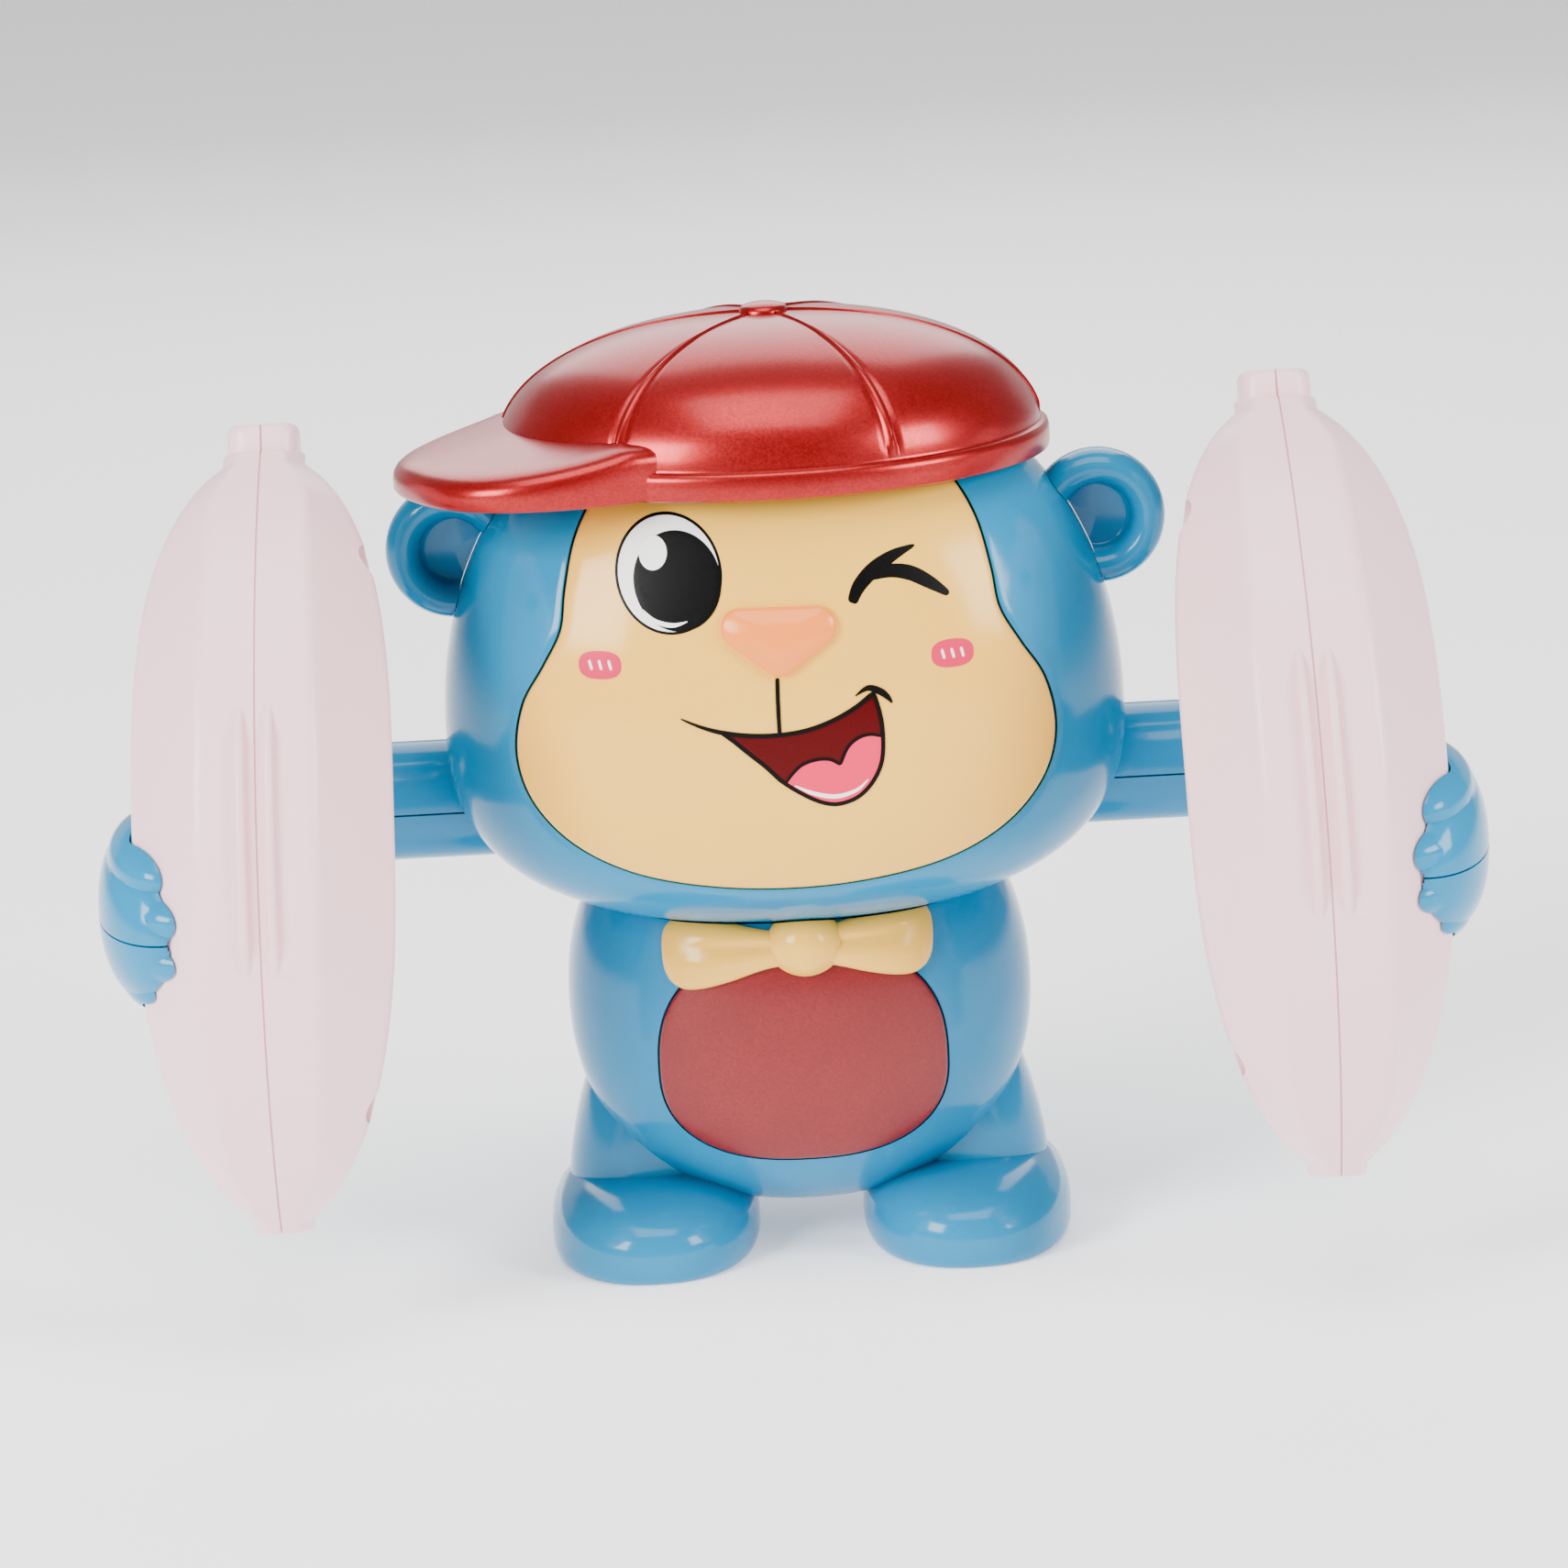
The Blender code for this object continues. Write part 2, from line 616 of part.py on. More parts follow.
def banana_pieces(side, word):
    """Two hollow half shells, joined by screws from the side that faces the head."""
    shell = banana_ribs(banana_form("banana", side, 0.0, True), side)
    cut(shell, banana_form("hollow", side, -1.8, False))
    for along in BANANA_SCREWS:
        pillar = banana_rod("pillar", side, along, -side * 22.0, side * 22.0, 3.8, 10)
        join(shell, keep(pillar, banana_form("mid_wall", side, -0.9, False)))
        cut(shell, banana_rod("well", side, along, -side * 5.0, -side * 40.0, 3.0, 10))
        cut(shell, banana_rod("hole", side, along, side * 7.0, -side * 8.0, SCREW_SHANK + GAP, 8))
    outer = keep(copy_of(shell, "outer"), banana_half_space("half", side, True))
    inner = keep(shell, banana_half_space("half", side, False))
    named(outer, f"{word}_banana_outer_shell", PINK)
    named(inner, f"{word}_banana_inner_shell", PINK)
    for index, along in enumerate(BANANA_SCREWS, 1):
        name = f"{word}_banana_screw_{index}"
        head = banana_rod(name, side, along, -side * 5.3, -side * 6.9, SCREW_HEAD, 8)
        join(head, banana_rod("shank", side, along, side * 5.0, -side * 5.5, SCREW_SHANK, 8))
        named(head, name, STEEL)


# ---------------------------------------------------------------- arms
def arm_point(side, forward, height):
    """A place in the arms' own frame, turned about the axle to its rest tilt."""
    cosine, sine = math.cos(ARM_TILT), math.sin(ARM_TILT)
    return side, forward * cosine - height * sine, AXLE_HEIGHT + forward * sine + height * cosine


def arm_tube(name, side, grow):
    """Upper arm along the axle, a round elbow, and a forearm forwards, as one bent tube."""
    radius = ARM_RADIUS + grow
    start, end = (ARM_START, 43.0) if grow == 0 else (58.0, 38.5)
    path = [((start, 0.0), (1.0, 0.0)), ((ELBOW_SIDE - 12.0, 0.0), (1.0, 0.0))]
    for step in (1, 2, 3):
        turn = math.radians(22.5 * step)
        path.append(((ELBOW_SIDE - 12.0 + 12.0 * math.sin(turn), 12.0 - 12.0 * math.cos(turn)),
                     (math.cos(turn), math.sin(turn))))
    path.append(((ELBOW_SIDE, 12.0), (0.0, 1.0)))
    path.append(((ELBOW_SIDE, end), (0.0, 1.0)))
    rings = []
    for (across, forward), (along, ahead) in path:
        ring = []
        for a, b in circle(radius, 14, math.radians(12.86)):
            ring.append(arm_point(side * (across - ahead * a), forward + along * a, b))
        rings.append(ring)
    return solid(name, rings)


def ball(name, side, middle, size, count=14, levels=6):
    """An ellipsoid in the arms' frame."""
    rings = []
    for step in range(levels + 1):
        angle = math.pi * (step / levels - 0.5) * 0.985
        ring = []
        for a, b in circle(math.cos(angle), count):
            ring.append(arm_point(side * (middle[0] + size[0] * a), middle[1] + size[1] * b,
                                  middle[2] + size[2] * math.sin(angle)))
        rings.append(ring)
    return solid(name, rings)


def arm_slab(name, side, heights):
    """A thick layer of the arms' frame between two heights."""
    rings = []
    for height in heights:
        corners = ((0.0, -BIG), (BIG, -BIG), (BIG, BIG), (0.0, BIG))
        rings.append([arm_point(side * a, b, height) for a, b in corners])
    return solid(name, rings)


def arm_pieces(side, word):
    """Upper and lower shells of one arm with its cupped hand, and the screw that joins them."""
    form = arm_tube("arm", side, 0.0)
    hand = ball("hand", side, (HAND_SIDE, HAND_FORWARD, 0.0), HAND_SIZE)
    join(form, keep(hand, banana_form("reach", side, HAND_THICK, False)))
    cut(form, banana_form("banana", side, GAP + 0.1, False))
    cut(form, hand_waste(side))
    cut(form, arm_tube("hollow", side, -1.8))
    ends = (side * 40.0, side * 60.5)
    cut(form, rod("bore", "side", ends[0], ends[1], AXLE_RADIUS + GAP, (0.0, AXLE_HEIGHT), 14))
    place = (side * 70.0, 0.0)
    join(form, keep(arm_rod("pillar", place, (-12.0, 12.0), 3.4, 10), arm_tube("mid_wall", side, -0.9)))
    cut(form, arm_rod("well", place, (-20.0, -5.0), SCREW_HEAD + 0.3, 10))
    cut(form, arm_rod("hole", place, (-6.0, 5.5), SCREW_SHANK + GAP, 8))
    lower = keep(copy_of(form, "lower"), arm_slab("below", side, (-BIG, -GAP / 2)))
    upper = keep(form, arm_slab("above", side, (GAP / 2, BIG)))
    named(upper, f"{word}_arm_upper_shell", BLUE)
    named(lower, f"{word}_arm_lower_shell", BLUE)
    name = f"{word}_arm_screw"
    head = arm_rod(name, place, (-6.9, -5.3), SCREW_HEAD, 8)
    named(join(head, arm_rod("shank", place, (-5.5, 4.5), SCREW_SHANK, 8)), name, STEEL)


def hand_waste(side):
    """Room on the banana's inner side and front that the hand must not fill."""
    return block("waste", (side * 30.0, side * HAND_TIP), (49.0, 90.0), (30.0, 130.0))


def arm_rod(name, place, heights, radius, count=12):
    """A cylinder square to the arm's split plane."""
    rings = []
    for height in heights:
        rings.append([arm_point(place[0] + a, place[1] + b, height) for a, b in circle(radius, count)])
    return solid(name, rings)


# ---------------------------------------------------------------- gear train
FINAL_DISTANCE = MODULE * (FINAL_TEETH + PINION_TEETH) / 2
STAGE_DISTANCE = MODULE * (WHEEL_TEETH + PINION_TEETH) / 2
FIRST_PIN = (FINAL_DISTANCE * math.sin(math.radians(24.0)),
             AXLE_HEIGHT + FINAL_DISTANCE * math.cos(math.radians(24.0)))
MOTOR_AT = (FIRST_PIN[0] + STAGE_DISTANCE * 0.6, FIRST_PIN[1] + STAGE_DISTANCE * 0.8)
SECOND_PIN = (FIRST_PIN[0] - STAGE_DISTANCE * 0.8, FIRST_PIN[1] + STAGE_DISTANCE * 0.6)
BACKLASH = 0.14


def gear_points(teeth, turn):
    """Four points a tooth: root, flank, flank, root, with shortened tips."""
    pitch = MODULE * teeth / 2
    tip, root = pitch + MODULE * 0.72, pitch - MODULE * 1.05
    step = 2 * math.pi / teeth
    slack = BACKLASH / pitch
    points = []
    for tooth in range(teeth):
        middle = turn + tooth * step
        for radius, share in ((root, -0.36), (tip, -0.11), (tip, 0.11), (root, 0.36)):
            angle = middle + share * step - math.copysign(slack / 2, share)
            points.append((radius * math.cos(angle), radius * math.sin(angle)))
    return points


def toothed(name, teeth, at, start, end, turn):
    """A spur gear without its bore."""
    outline = gear_points(teeth, turn)
    return solid(name, [[(place, at[0] + a, at[1] + b) for a, b in outline] for place in (start, end)])


def angle_between(here, there):
    return math.atan2(there[1] - here[1], there[0] - here[0])


def mesh_turn(driver_at, driver_teeth, driver_turn, at, teeth):
    """The turn that puts a gap of the second gear where the first one has a tooth."""
    towards = angle_between(driver_at, at)
    offset = (towards - driver_turn) * driver_teeth
    return towards + math.pi - (math.pi - offset) / teeth


def gear_train():
    """Pinion, three compound gears and the final gear, each meshing with the next."""
    wheel_turns = []
    pinion_turn = 0.0
    pinion = toothed("pinion", PINION_TEETH, MOTOR_AT, 4.3, 7.2, pinion_turn)
    cut(pinion, rod("bore", "side", 0.0, 10.0, PIN_RADIUS + GAP, MOTOR_AT, 10))
    named(pinion, "motor_pinion", BRASS)
    named(rod("shaft", "side", 4.0, 12.0, PIN_RADIUS, MOTOR_AT, 10), "motor_shaft", STEEL)

    stages = [("compound_gear_1", FIRST_PIN, (4.4, 6.8), (0.8, 4.5)),
              ("compound_gear_2", SECOND_PIN, (1.3, 3.7), (-2.6, 1.4)),
              ("compound_gear_3", FIRST_PIN, (-2.4, 0.0), (-6.4, -2.3))]
    before_at, before_turn = MOTOR_AT, pinion_turn
    for name, at, wheel, small in stages:
        turn = mesh_turn(before_at, PINION_TEETH, before_turn, at, WHEEL_TEETH)
        wheel_turns.append(turn)
        gear = toothed(name, WHEEL_TEETH, at, wheel[0], wheel[1], turn)
        join(gear, toothed("small", PINION_TEETH, at, small[0], small[1], 0.0))
        cut(gear, rod("bore", "side", -20.0, 20.0, PIN_RADIUS + GAP, at, 10))
        named(gear, name, NYLON)
        before_at, before_turn = at, 0.0
    turn = mesh_turn(before_at, PINION_TEETH, before_turn, (0.0, AXLE_HEIGHT), FINAL_TEETH)
    final = toothed("final", FINAL_TEETH, (0.0, AXLE_HEIGHT), -6.2, -3.0, turn)
    cut(final, rod("bore", "side", -20.0, 20.0, AXLE_RADIUS + GAP, (0.0, AXLE_HEIGHT), 12))
    named(final, "final_gear", NYLON)
    named(rod("axle", "side", -60.0, 60.0, AXLE_RADIUS, (0.0, AXLE_HEIGHT), 12), "arm_axle", STEEL)
    for index, at in enumerate((FIRST_PIN, SECOND_PIN), 1):
        named(rod("pin", "side", -8.4, 8.6, PIN_RADIUS, at, 10), f"gear_pin_{index}", STEEL)


def case_form(name, margin, start, end):
    """A convex box round all the gears."""
    wheel = MODULE * (WHEEL_TEETH / 2 + 0.72)
    final = MODULE * (FINAL_TEETH / 2 + 0.72)
    points = []
    for at, radius in (((0.0, AXLE_HEIGHT), final), (FIRST_PIN, wheel), (SECOND_PIN, wheel), (MOTOR_AT, 5.0)):
        for a, b in circle(radius + margin, 12):
            points.append((start, at[0] + a, at[1] + b))
            points.append((end, at[0] + a, at[1] + b))
    return hull(name, points)


GEARBOX_SCREWS = ((16.2, 74.5), (-16.2, 80.0))


def gearbox():
    """Two halves of the gear case, the motor, and the two screws through the case."""
    case = case_form("case", 2.0, -8.6, 8.8)
    cut(case, case_form("room", 0.6, -7.3, 7.5))
    for at, radius in (((0.0, AXLE_HEIGHT), AXLE_RADIUS + 0.5), (FIRST_PIN, PIN_RADIUS + GAP),
                       (SECOND_PIN, PIN_RADIUS + GAP), (MOTOR_AT, PIN_RADIUS + 0.6)):
        cut(case, rod("hole", "side", -20.0, 20.0, radius, at, 10))
    for at in GEARBOX_SCREWS:
        join(case, rod("lug", "side", -8.6, 8.8, 3.4, at, 10))
        cut(case, rod("hole", "side", -20.0, 20.0, SCREW_SHANK + GAP, at, 8))
    right = copy_of(case, "right")
    left = keep(case, block("half", (GAP / 2, BIG), (-BIG, BIG), (-BIG, BIG)))
    right = keep(right, block("half", (-BIG, -GAP / 2), (-BIG, BIG), (-BIG, BIG)))
    named(left, "gearbox_case_left", NYLON)
    named(right, "gearbox_case_right", NYLON)
    for index, at in enumerate(GEARBOX_SCREWS, 1):
        profile = [(-10.6, 1.6), (-10.2, 2.3), (-8.9, 2.3), (-8.89, SCREW_SHANK), (8.0, SCREW_SHANK * 0.8)]
        name = f"gearbox_screw_{index}"
        named(turned(name, "side", profile, at, 10), name, STEEL)

    can = rod("can", "side", 9.1, 34.1, 10.0, MOTOR_AT, 20)
    height = MOTOR_AT[1]
    keep(can, block("flats", (0.0, 50.0), (-BIG, BIG), (height - 7.5, height + 7.5)))
    join(can, rod("boss", "side", 34.0, 35.6, 3.2, MOTOR_AT, 12))
    cut(can, rod("bore", "side", 5.0, 14.0, PIN_RADIUS + 0.4, MOTOR_AT, 10))
    named(can, "motor_can", STEEL)
    for side, word in ((1, "left"), (-1, "right")):
        name = f"axle_bush_{word}"
        tube = rod(name, "side", side * 39.0, side * 46.6, 4.0, (0.0, AXLE_HEIGHT), 14)
        join(tube, rod("flange", "side", side * 35.4, side * 36.8, 5.4, (0.0, AXLE_HEIGHT), 14))
        join(tube, rod("neck", "side", side * 36.5, side * 40.0, 4.0, (0.0, AXLE_HEIGHT), 14))
        ends = (side * 30.0, side * 60.0)
        cut(tube, rod("bore", "side", ends[0], ends[1], AXLE_RADIUS + GAP, (0.0, AXLE_HEIGHT), 12))
        named(tube, name, BRASS)


# ---------------------------------------------------------------- power and sound
def battery(name, height):
    """An AAA cell lying across the toy, with its raised contact."""
    half = BATTERY_LENGTH / 2
    profile = [(-half, BATTERY_RADIUS), (half - 1.0, BATTERY_RADIUS), (half - 0.99, 1.9), (half, 1.9)]
    named(turned(name, "side", profile, (BATTERY_FORWARD, height), 14), name, GREEN)


def power_pieces():
    """Tray, cells, contacts, cover, switch, board and speaker inside the torso."""
    tray = block("tray", (-25.2, 25.2), (-19.0, -1.0), (16.2, 51.8))
    cut(tray, block("room", (-23.8, 23.8), (-30.0, -2.2), (17.3, 50.7)))
    keep(tray, egg("inner", TORSO, -WALL - GAP))
    named(tray, "battery_tray", GREY)
    for index, height in enumerate(BATTERY_HEIGHTS, 1):
        battery(f"battery_{index}", height)
    for side, word in ((1, "left"), (-1, "right")):
        plate = block("contact", (side * 22.7, side * 23.4), (-10.5, -3.5), (21.5, 48.5))
        named(plate, f"battery_contact_{word}", STEEL)

    sides = (-COVER_HALF + GAP, COVER_HALF - GAP)
    heights = (COVER_LOW + GAP, COVER_HIGH - GAP)
    cover = block("cover", sides, (-60.0, -5.0), heights)
    keep(cover, egg("face", TORSO))
    cut(cover, egg("inner", TORSO, -WALL))
    screw_at = (0.0, 45.6)
    seat = -25.6
    cut(cover, rod("well", "forward", -60.0, seat, SCREW_HEAD + 0.3, screw_at, 12))
    join(cover, keep(rod("boss", "forward", -29.0, -23.6, 3.9, screw_at, 10), egg("face", TORSO)))
    cut(cover, rod("well", "forward", -60.0, seat, SCREW_HEAD + 0.3, screw_at, 12))
    cut(cover, rod("hole", "forward", -40.0, 0.0, SCREW_SHANK + GAP, screw_at, 8))
    named(cover, "battery_cover", BLUE)
    screw("battery_cover_screw", screw_at[0], screw_at[1], seat, 5.5)

    low, high = SWITCH_HEIGHT - 4.0, SWITCH_HEIGHT + 4.0
    housing = block("housing", (-6.5, 6.5), (-20.0, -15.0), (low, high))
    cut(housing, block("room", (-4.5, 4.5), (-30.0, -16.4), (SWITCH_HEIGHT - 2.0, SWITCH_HEIGHT + 2.0)))
    named(housing, "switch_housing", STEEL)
    knob = block("knob", (-3.9, -0.5), (-28.0, -16.8), (SWITCH_HEIGHT - 1.4, SWITCH_HEIGHT + 1.4))
    named(knob, "switch_slider", BLACK)

    named(block("board", (-16.0, 16.0), (2.2, 3.8), (24.0, 50.0)), "circuit_board", GREEN)
    profile = [(8.0, 9.0), (12.5, 9.0), (12.51, 13.0), (15.0, 13.0), (15.01, 11.0), (14.0, 4.0)]
    named(turned("speaker", "forward", profile, (0.0, 34.0), 18), "speaker", BLACK)


# ---------------------------------------------------------------- assembly
def mirror_pieces():
    """The right arm and banana are the left ones mirrored."""
    for source in [item for item in bpy.data.objects if item.name.startswith("left_")]:
        twin = copy_of(source, source.name.replace("left_", "right_"))
        twin.data.transform(Matrix.Scale(-1.0, 4, Vector((1.0, 0.0, 0.0))))
        twin.data.flip_normals()


def mounted_on_axis(names, forward, height, title):
    """Parent moving pieces to an empty on their joint's axis."""
    pivot = bpy.data.objects.new(title, None)
    pivot.location = world(0.0, forward, height)
    bpy.context.scene.collection.objects.link(pivot)
    bpy.context.view_layer.update()
    for name in names:
        piece = bpy.data.objects[name]
        piece.parent = pivot
        piece.matrix_parent_inverse = pivot.matrix_world.inverted()


def build():
    for item in list(bpy.data.objects):
        bpy.data.objects.remove(item)
    torso_pieces()
    bow_tie()
    head_pieces()
    nose()
    ears()
    cap()
    gear_train()
    gearbox()
    power_pieces()
    arm_names = ["arm_axle", "final_gear"]
    banana_pieces(1, "left")
    arm_pieces(1, "left")
    mirror_pieces()
    arm_names += [item.name for item in bpy.data.objects if item.name.startswith(("left_", "right_"))]
    mounted_on_axis(arm_names, 0.0, AXLE_HEIGHT, "arm_pivot")
    mounted_on_axis(["motor_pinion", "motor_shaft"], *MOTOR_AT, "motor_pivot")
    mounted_on_axis(["compound_gear_1"], *FIRST_PIN, "gear_1_pivot")
    mounted_on_axis(["compound_gear_2"], *SECOND_PIN, "gear_2_pivot")
    mounted_on_axis(["compound_gear_3"], *FIRST_PIN, "gear_3_pivot")


build()
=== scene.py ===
# %% [markdown]
# # A tumbling monkey toy
# A battery-driven monkey with a winking face, a pearl-red cap and two big pink bananas. Its arms sit on
# one motor-driven axle, and the bananas lift the toy so that it rolls head over heels. The frame holds
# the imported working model; this file gives it its smooth moulded surfaces, its paint and its studio.

# %% Load the frame and keep its box
import json
import math

import bmesh
import bpy
from mathutils import Matrix, Vector


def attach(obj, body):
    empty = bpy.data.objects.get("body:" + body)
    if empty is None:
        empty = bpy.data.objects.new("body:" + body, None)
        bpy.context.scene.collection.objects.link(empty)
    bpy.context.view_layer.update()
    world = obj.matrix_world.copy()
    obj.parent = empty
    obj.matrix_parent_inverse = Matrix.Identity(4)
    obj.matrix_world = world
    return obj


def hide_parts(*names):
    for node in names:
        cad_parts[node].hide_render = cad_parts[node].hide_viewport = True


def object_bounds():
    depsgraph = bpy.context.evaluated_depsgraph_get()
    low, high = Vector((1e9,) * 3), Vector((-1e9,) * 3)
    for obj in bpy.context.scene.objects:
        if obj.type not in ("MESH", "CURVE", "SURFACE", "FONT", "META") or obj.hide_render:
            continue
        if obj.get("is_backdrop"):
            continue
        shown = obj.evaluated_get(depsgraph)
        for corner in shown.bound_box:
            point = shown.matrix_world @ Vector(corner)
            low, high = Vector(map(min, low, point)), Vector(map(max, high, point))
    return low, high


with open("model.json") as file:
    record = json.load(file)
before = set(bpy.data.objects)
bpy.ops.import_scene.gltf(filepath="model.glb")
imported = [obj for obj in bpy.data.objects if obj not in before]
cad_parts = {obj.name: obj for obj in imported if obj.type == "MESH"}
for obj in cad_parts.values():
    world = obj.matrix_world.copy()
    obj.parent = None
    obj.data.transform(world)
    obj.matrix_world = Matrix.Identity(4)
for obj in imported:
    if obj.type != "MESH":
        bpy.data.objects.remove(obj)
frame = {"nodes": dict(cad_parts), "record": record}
CAD_BOX = [list(corner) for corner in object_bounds()]
MM = 0.001
AXLE = next(Vector(joint["pos_m"]) for joint in frame["record"]["behaviour"]["joints"]
            if joint["name"] == "arms_turn")
print("axle at", [round(value / MM, 1) for value in AXLE], "mm;", len(frame["nodes"]), "nodes")

# %% [markdown]
# ## The camera
# The toy stands square to the camera, a little below it, and the picture is rolled a few degrees, so
# that the toy's left hand is higher. The camera's three axes are written down as vectors: `right` and
# `up` are turned about the line of sight by the roll.

# %% Camera
DISTANCE, ELEVATION, ROLL = 1.05, math.radians(13.0), math.radians(3.1)
VIEW_WIDTH, SENSOR, FRAME_SIDE = 0.2548, 36.0, 1710.0
SHIFT = 5.0 / FRAME_SIDE


def look_at_axle():
    """Place a camera that looks down at the axle, rolled about its own line of sight."""
    bpy.ops.object.camera_add()
    made = bpy.context.object
    backwards = Vector((0.0, -math.cos(ELEVATION), math.sin(ELEVATION)))
    level = Vector((1.0, 0.0, 0.0))
    upright = Vector((0.0, math.sin(ELEVATION), math.cos(ELEVATION)))
    right = level * math.cos(ROLL) - upright * math.sin(ROLL)
    up = level * math.sin(ROLL) + upright * math.cos(ROLL)
    turn = Matrix((right, up, backwards)).transposed().to_4x4()
    made.matrix_world = Matrix.Translation(AXLE + backwards * DISTANCE) @ turn
    made.data.sensor_width = SENSOR
    made.data.lens = SENSOR * DISTANCE / VIEW_WIDTH
    made.data.shift_x = -SHIFT
    made.data.shift_y = -SHIFT
    bpy.context.scene.camera = made
    return made


camera = look_at_axle()
print("lens", round(camera.data.lens, 1), "mm")

# %% [markdown]
# ## Floor and light
# A white sweep: a big plane whose far edge is extruded upwards, with the fold bevelled round. Large soft
# boxes stand on both sides and above, which gives glossy plastic its long, soft highlights, and a white
# world fills the shadows a little.

# %% Helpers for selecting
def deselect():
    """Leave nothing selected, so an operator acts only on what comes next."""
    if bpy.context.object and bpy.context.object.mode != "OBJECT":
        bpy.ops.object.mode_set(mode="OBJECT")
    bpy.ops.object.select_all(action="DESELECT")


def only(piece):
    """Select one piece and make it active."""
    deselect()
    piece.select_set(True)
    bpy.context.view_layer.objects.active = piece


# %% Floor
FLOOR_SIZE, SWEEP_HEIGHT, SWEEP_RADIUS = 14.0, 3.0, 0.8


def white_sweep():
    """A plane with its far edge pulled up and the fold rounded."""
    deselect()
    bpy.ops.mesh.primitive_plane_add(size=FLOOR_SIZE, location=(0.0, 0.5, 0.0))
    floor = bpy.context.object
    floor.name = "floor"
    bpy.ops.object.transform_apply(location=True)
    bpy.ops.object.mode_set(mode="EDIT")
    bpy.ops.mesh.select_all(action="DESELECT")
    work = bmesh.from_edit_mesh(floor.data)
    for edge in work.edges:
        edge.select_set(all(vert.co.y > 1.0 for vert in edge.verts))
    bmesh.update_edit_mesh(floor.data)
    bpy.ops.mesh.extrude_region_move(TRANSFORM_OT_translate={"value": (0.0, 0.0, SWEEP_HEIGHT)})
    bpy.ops.mesh.select_all(action="DESELECT")
    work = bmesh.from_edit_mesh(floor.data)
    for edge in work.edges:
        edge.select_set(all(vert.co.y > 1.0 and vert.co.z < 0.1 for vert in edge.verts))
    bmesh.update_edit_mesh(floor.data)
    bpy.ops.mesh.bevel(offset=SWEEP_RADIUS, segments=16, affect="EDGES")
    bpy.ops.object.mode_set(mode="OBJECT")
    bpy.ops.object.shade_smooth()
    floor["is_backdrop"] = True
    return floor


floor = white_sweep()

# %% Lights
def soft_box(name, place, size, power):
    """A square area light that faces the toy."""
    bpy.ops.object.light_add(type="AREA", location=place)
    light = bpy.context.object
    light.name = name
    light.data.size = size
    light.data.energy = power
    light.rotation_euler = (Vector(place) - AXLE).to_track_quat("Z", "Y").to_euler()


soft_box("key_left", (-0.80, -0.75, 0.55), 0.50, 20.0)
soft_box("fill_right", (0.90, -0.55, 0.50), 0.45, 12.0)
soft_box("top", (0.0, -0.30, 1.05), 0.70, 9.0)
soft_box("rear_rim", (0.0, 0.90, 0.80), 0.90, 9.0)
world = bpy.data.worlds.new("white_room")
bpy.context.scene.world = world
world.use_nodes = True
world.node_tree.nodes["Background"].inputs["Color"].default_value = (1.0, 1.0, 1.0, 1.0)
world.node_tree.nodes["Background"].inputs["Strength"].default_value = 0.28
print("four soft boxes and a white world")

# %% [markdown]
# ## Finishes
# Nearly everything here is injection-moulded ABS, a tough glossy plastic with an index of refraction
# near 1.53. A moulded face is never a perfect mirror: it has a faint orange peel from the steel, and
# faint flow marks in the colour. One function builds each colour of ABS from two close tones. The specular
# level is kept below its usual half, because the pale room would otherwise veil the darker colours.

# %% One helper that adds a node
def add(tree, kind, settings=None, links=None):
    """Add a node, set its properties and inputs, and link outputs of other nodes to its inputs."""
    made = tree.nodes.new(kind)
    for key, value in (settings or {}).items():
        if key in made.inputs:
            made.inputs[key].default_value = value
        else:
            setattr(made, key, value)
    for key, source in (links or {}).items():
        tree.links.new(source, made.inputs[key])
    return made


def linear(code):
    """An sRGB hex colour as linear red, green, blue and alpha."""
    parts = [int(code[start:start + 2], 16) / 255.0 for start in (0, 2, 4)]
    return [value / 12.92 if value <= 0.04045 else ((value + 0.055) / 1.055) ** 2.4
            for value in parts] + [1.0]


def new_material(name):
    """An empty material with its shader and its object coordinates."""
    made = bpy.data.materials.new(name)
    made.use_nodes = True
    tree = made.node_tree
    return made, tree, tree.nodes["Principled BSDF"], add(tree, "ShaderNodeTexCoord").outputs["Object"]


# %% Moulded ABS
ABS_IOR, ABS_SPECULAR = 1.53, 0.28
PEEL_SIZE, FLOW_SIZE = 1.6 * MM, 14.0 * MM    # orange peel and flow marks, peak to peak
PEEL_DEPTH = 0.012 * MM


def abs_plastic(name, tone, flow_tone, rough, peel=PEEL_DEPTH):
    """Glossy moulded ABS: two close tones in flow marks, uneven gloss, and a faint orange peel."""
    made, tree, shader, place = new_material(name)
    flow = add(tree, "ShaderNodeTexNoise", {"Scale": 1.0 / FLOW_SIZE, "Detail": 3.0, "Distortion": 0.8},
               {"Vector": place})
    tones = add(tree, "ShaderNodeMix", {"data_type": "RGBA", "A": linear(tone), "B": linear(flow_tone)},
                {"Factor": flow.outputs["Fac"]})
    tree.links.new(tones.outputs["Result"], shader.inputs["Base Color"])
    grain = add(tree, "ShaderNodeTexNoise", {"Scale": 1.0 / PEEL_SIZE, "Detail": 2.0}, {"Vector": place})
    gloss = add(tree, "ShaderNodeMapRange", {"To Min": rough * 0.8, "To Max": rough * 1.25},
                {"Value": flow.outputs["Fac"]})
    tree.links.new(gloss.outputs["Result"], shader.inputs["Roughness"])
    bump = add(tree, "ShaderNodeBump", {"Strength": 1.0, "Distance": peel}, {"Height": grain.outputs["Fac"]})
    tree.links.new(bump.outputs["Normal"], shader.inputs["Normal"])
    shader.inputs["IOR"].default_value = ABS_IOR
    shader.inputs["Specular IOR Level"].default_value = ABS_SPECULAR
    return made


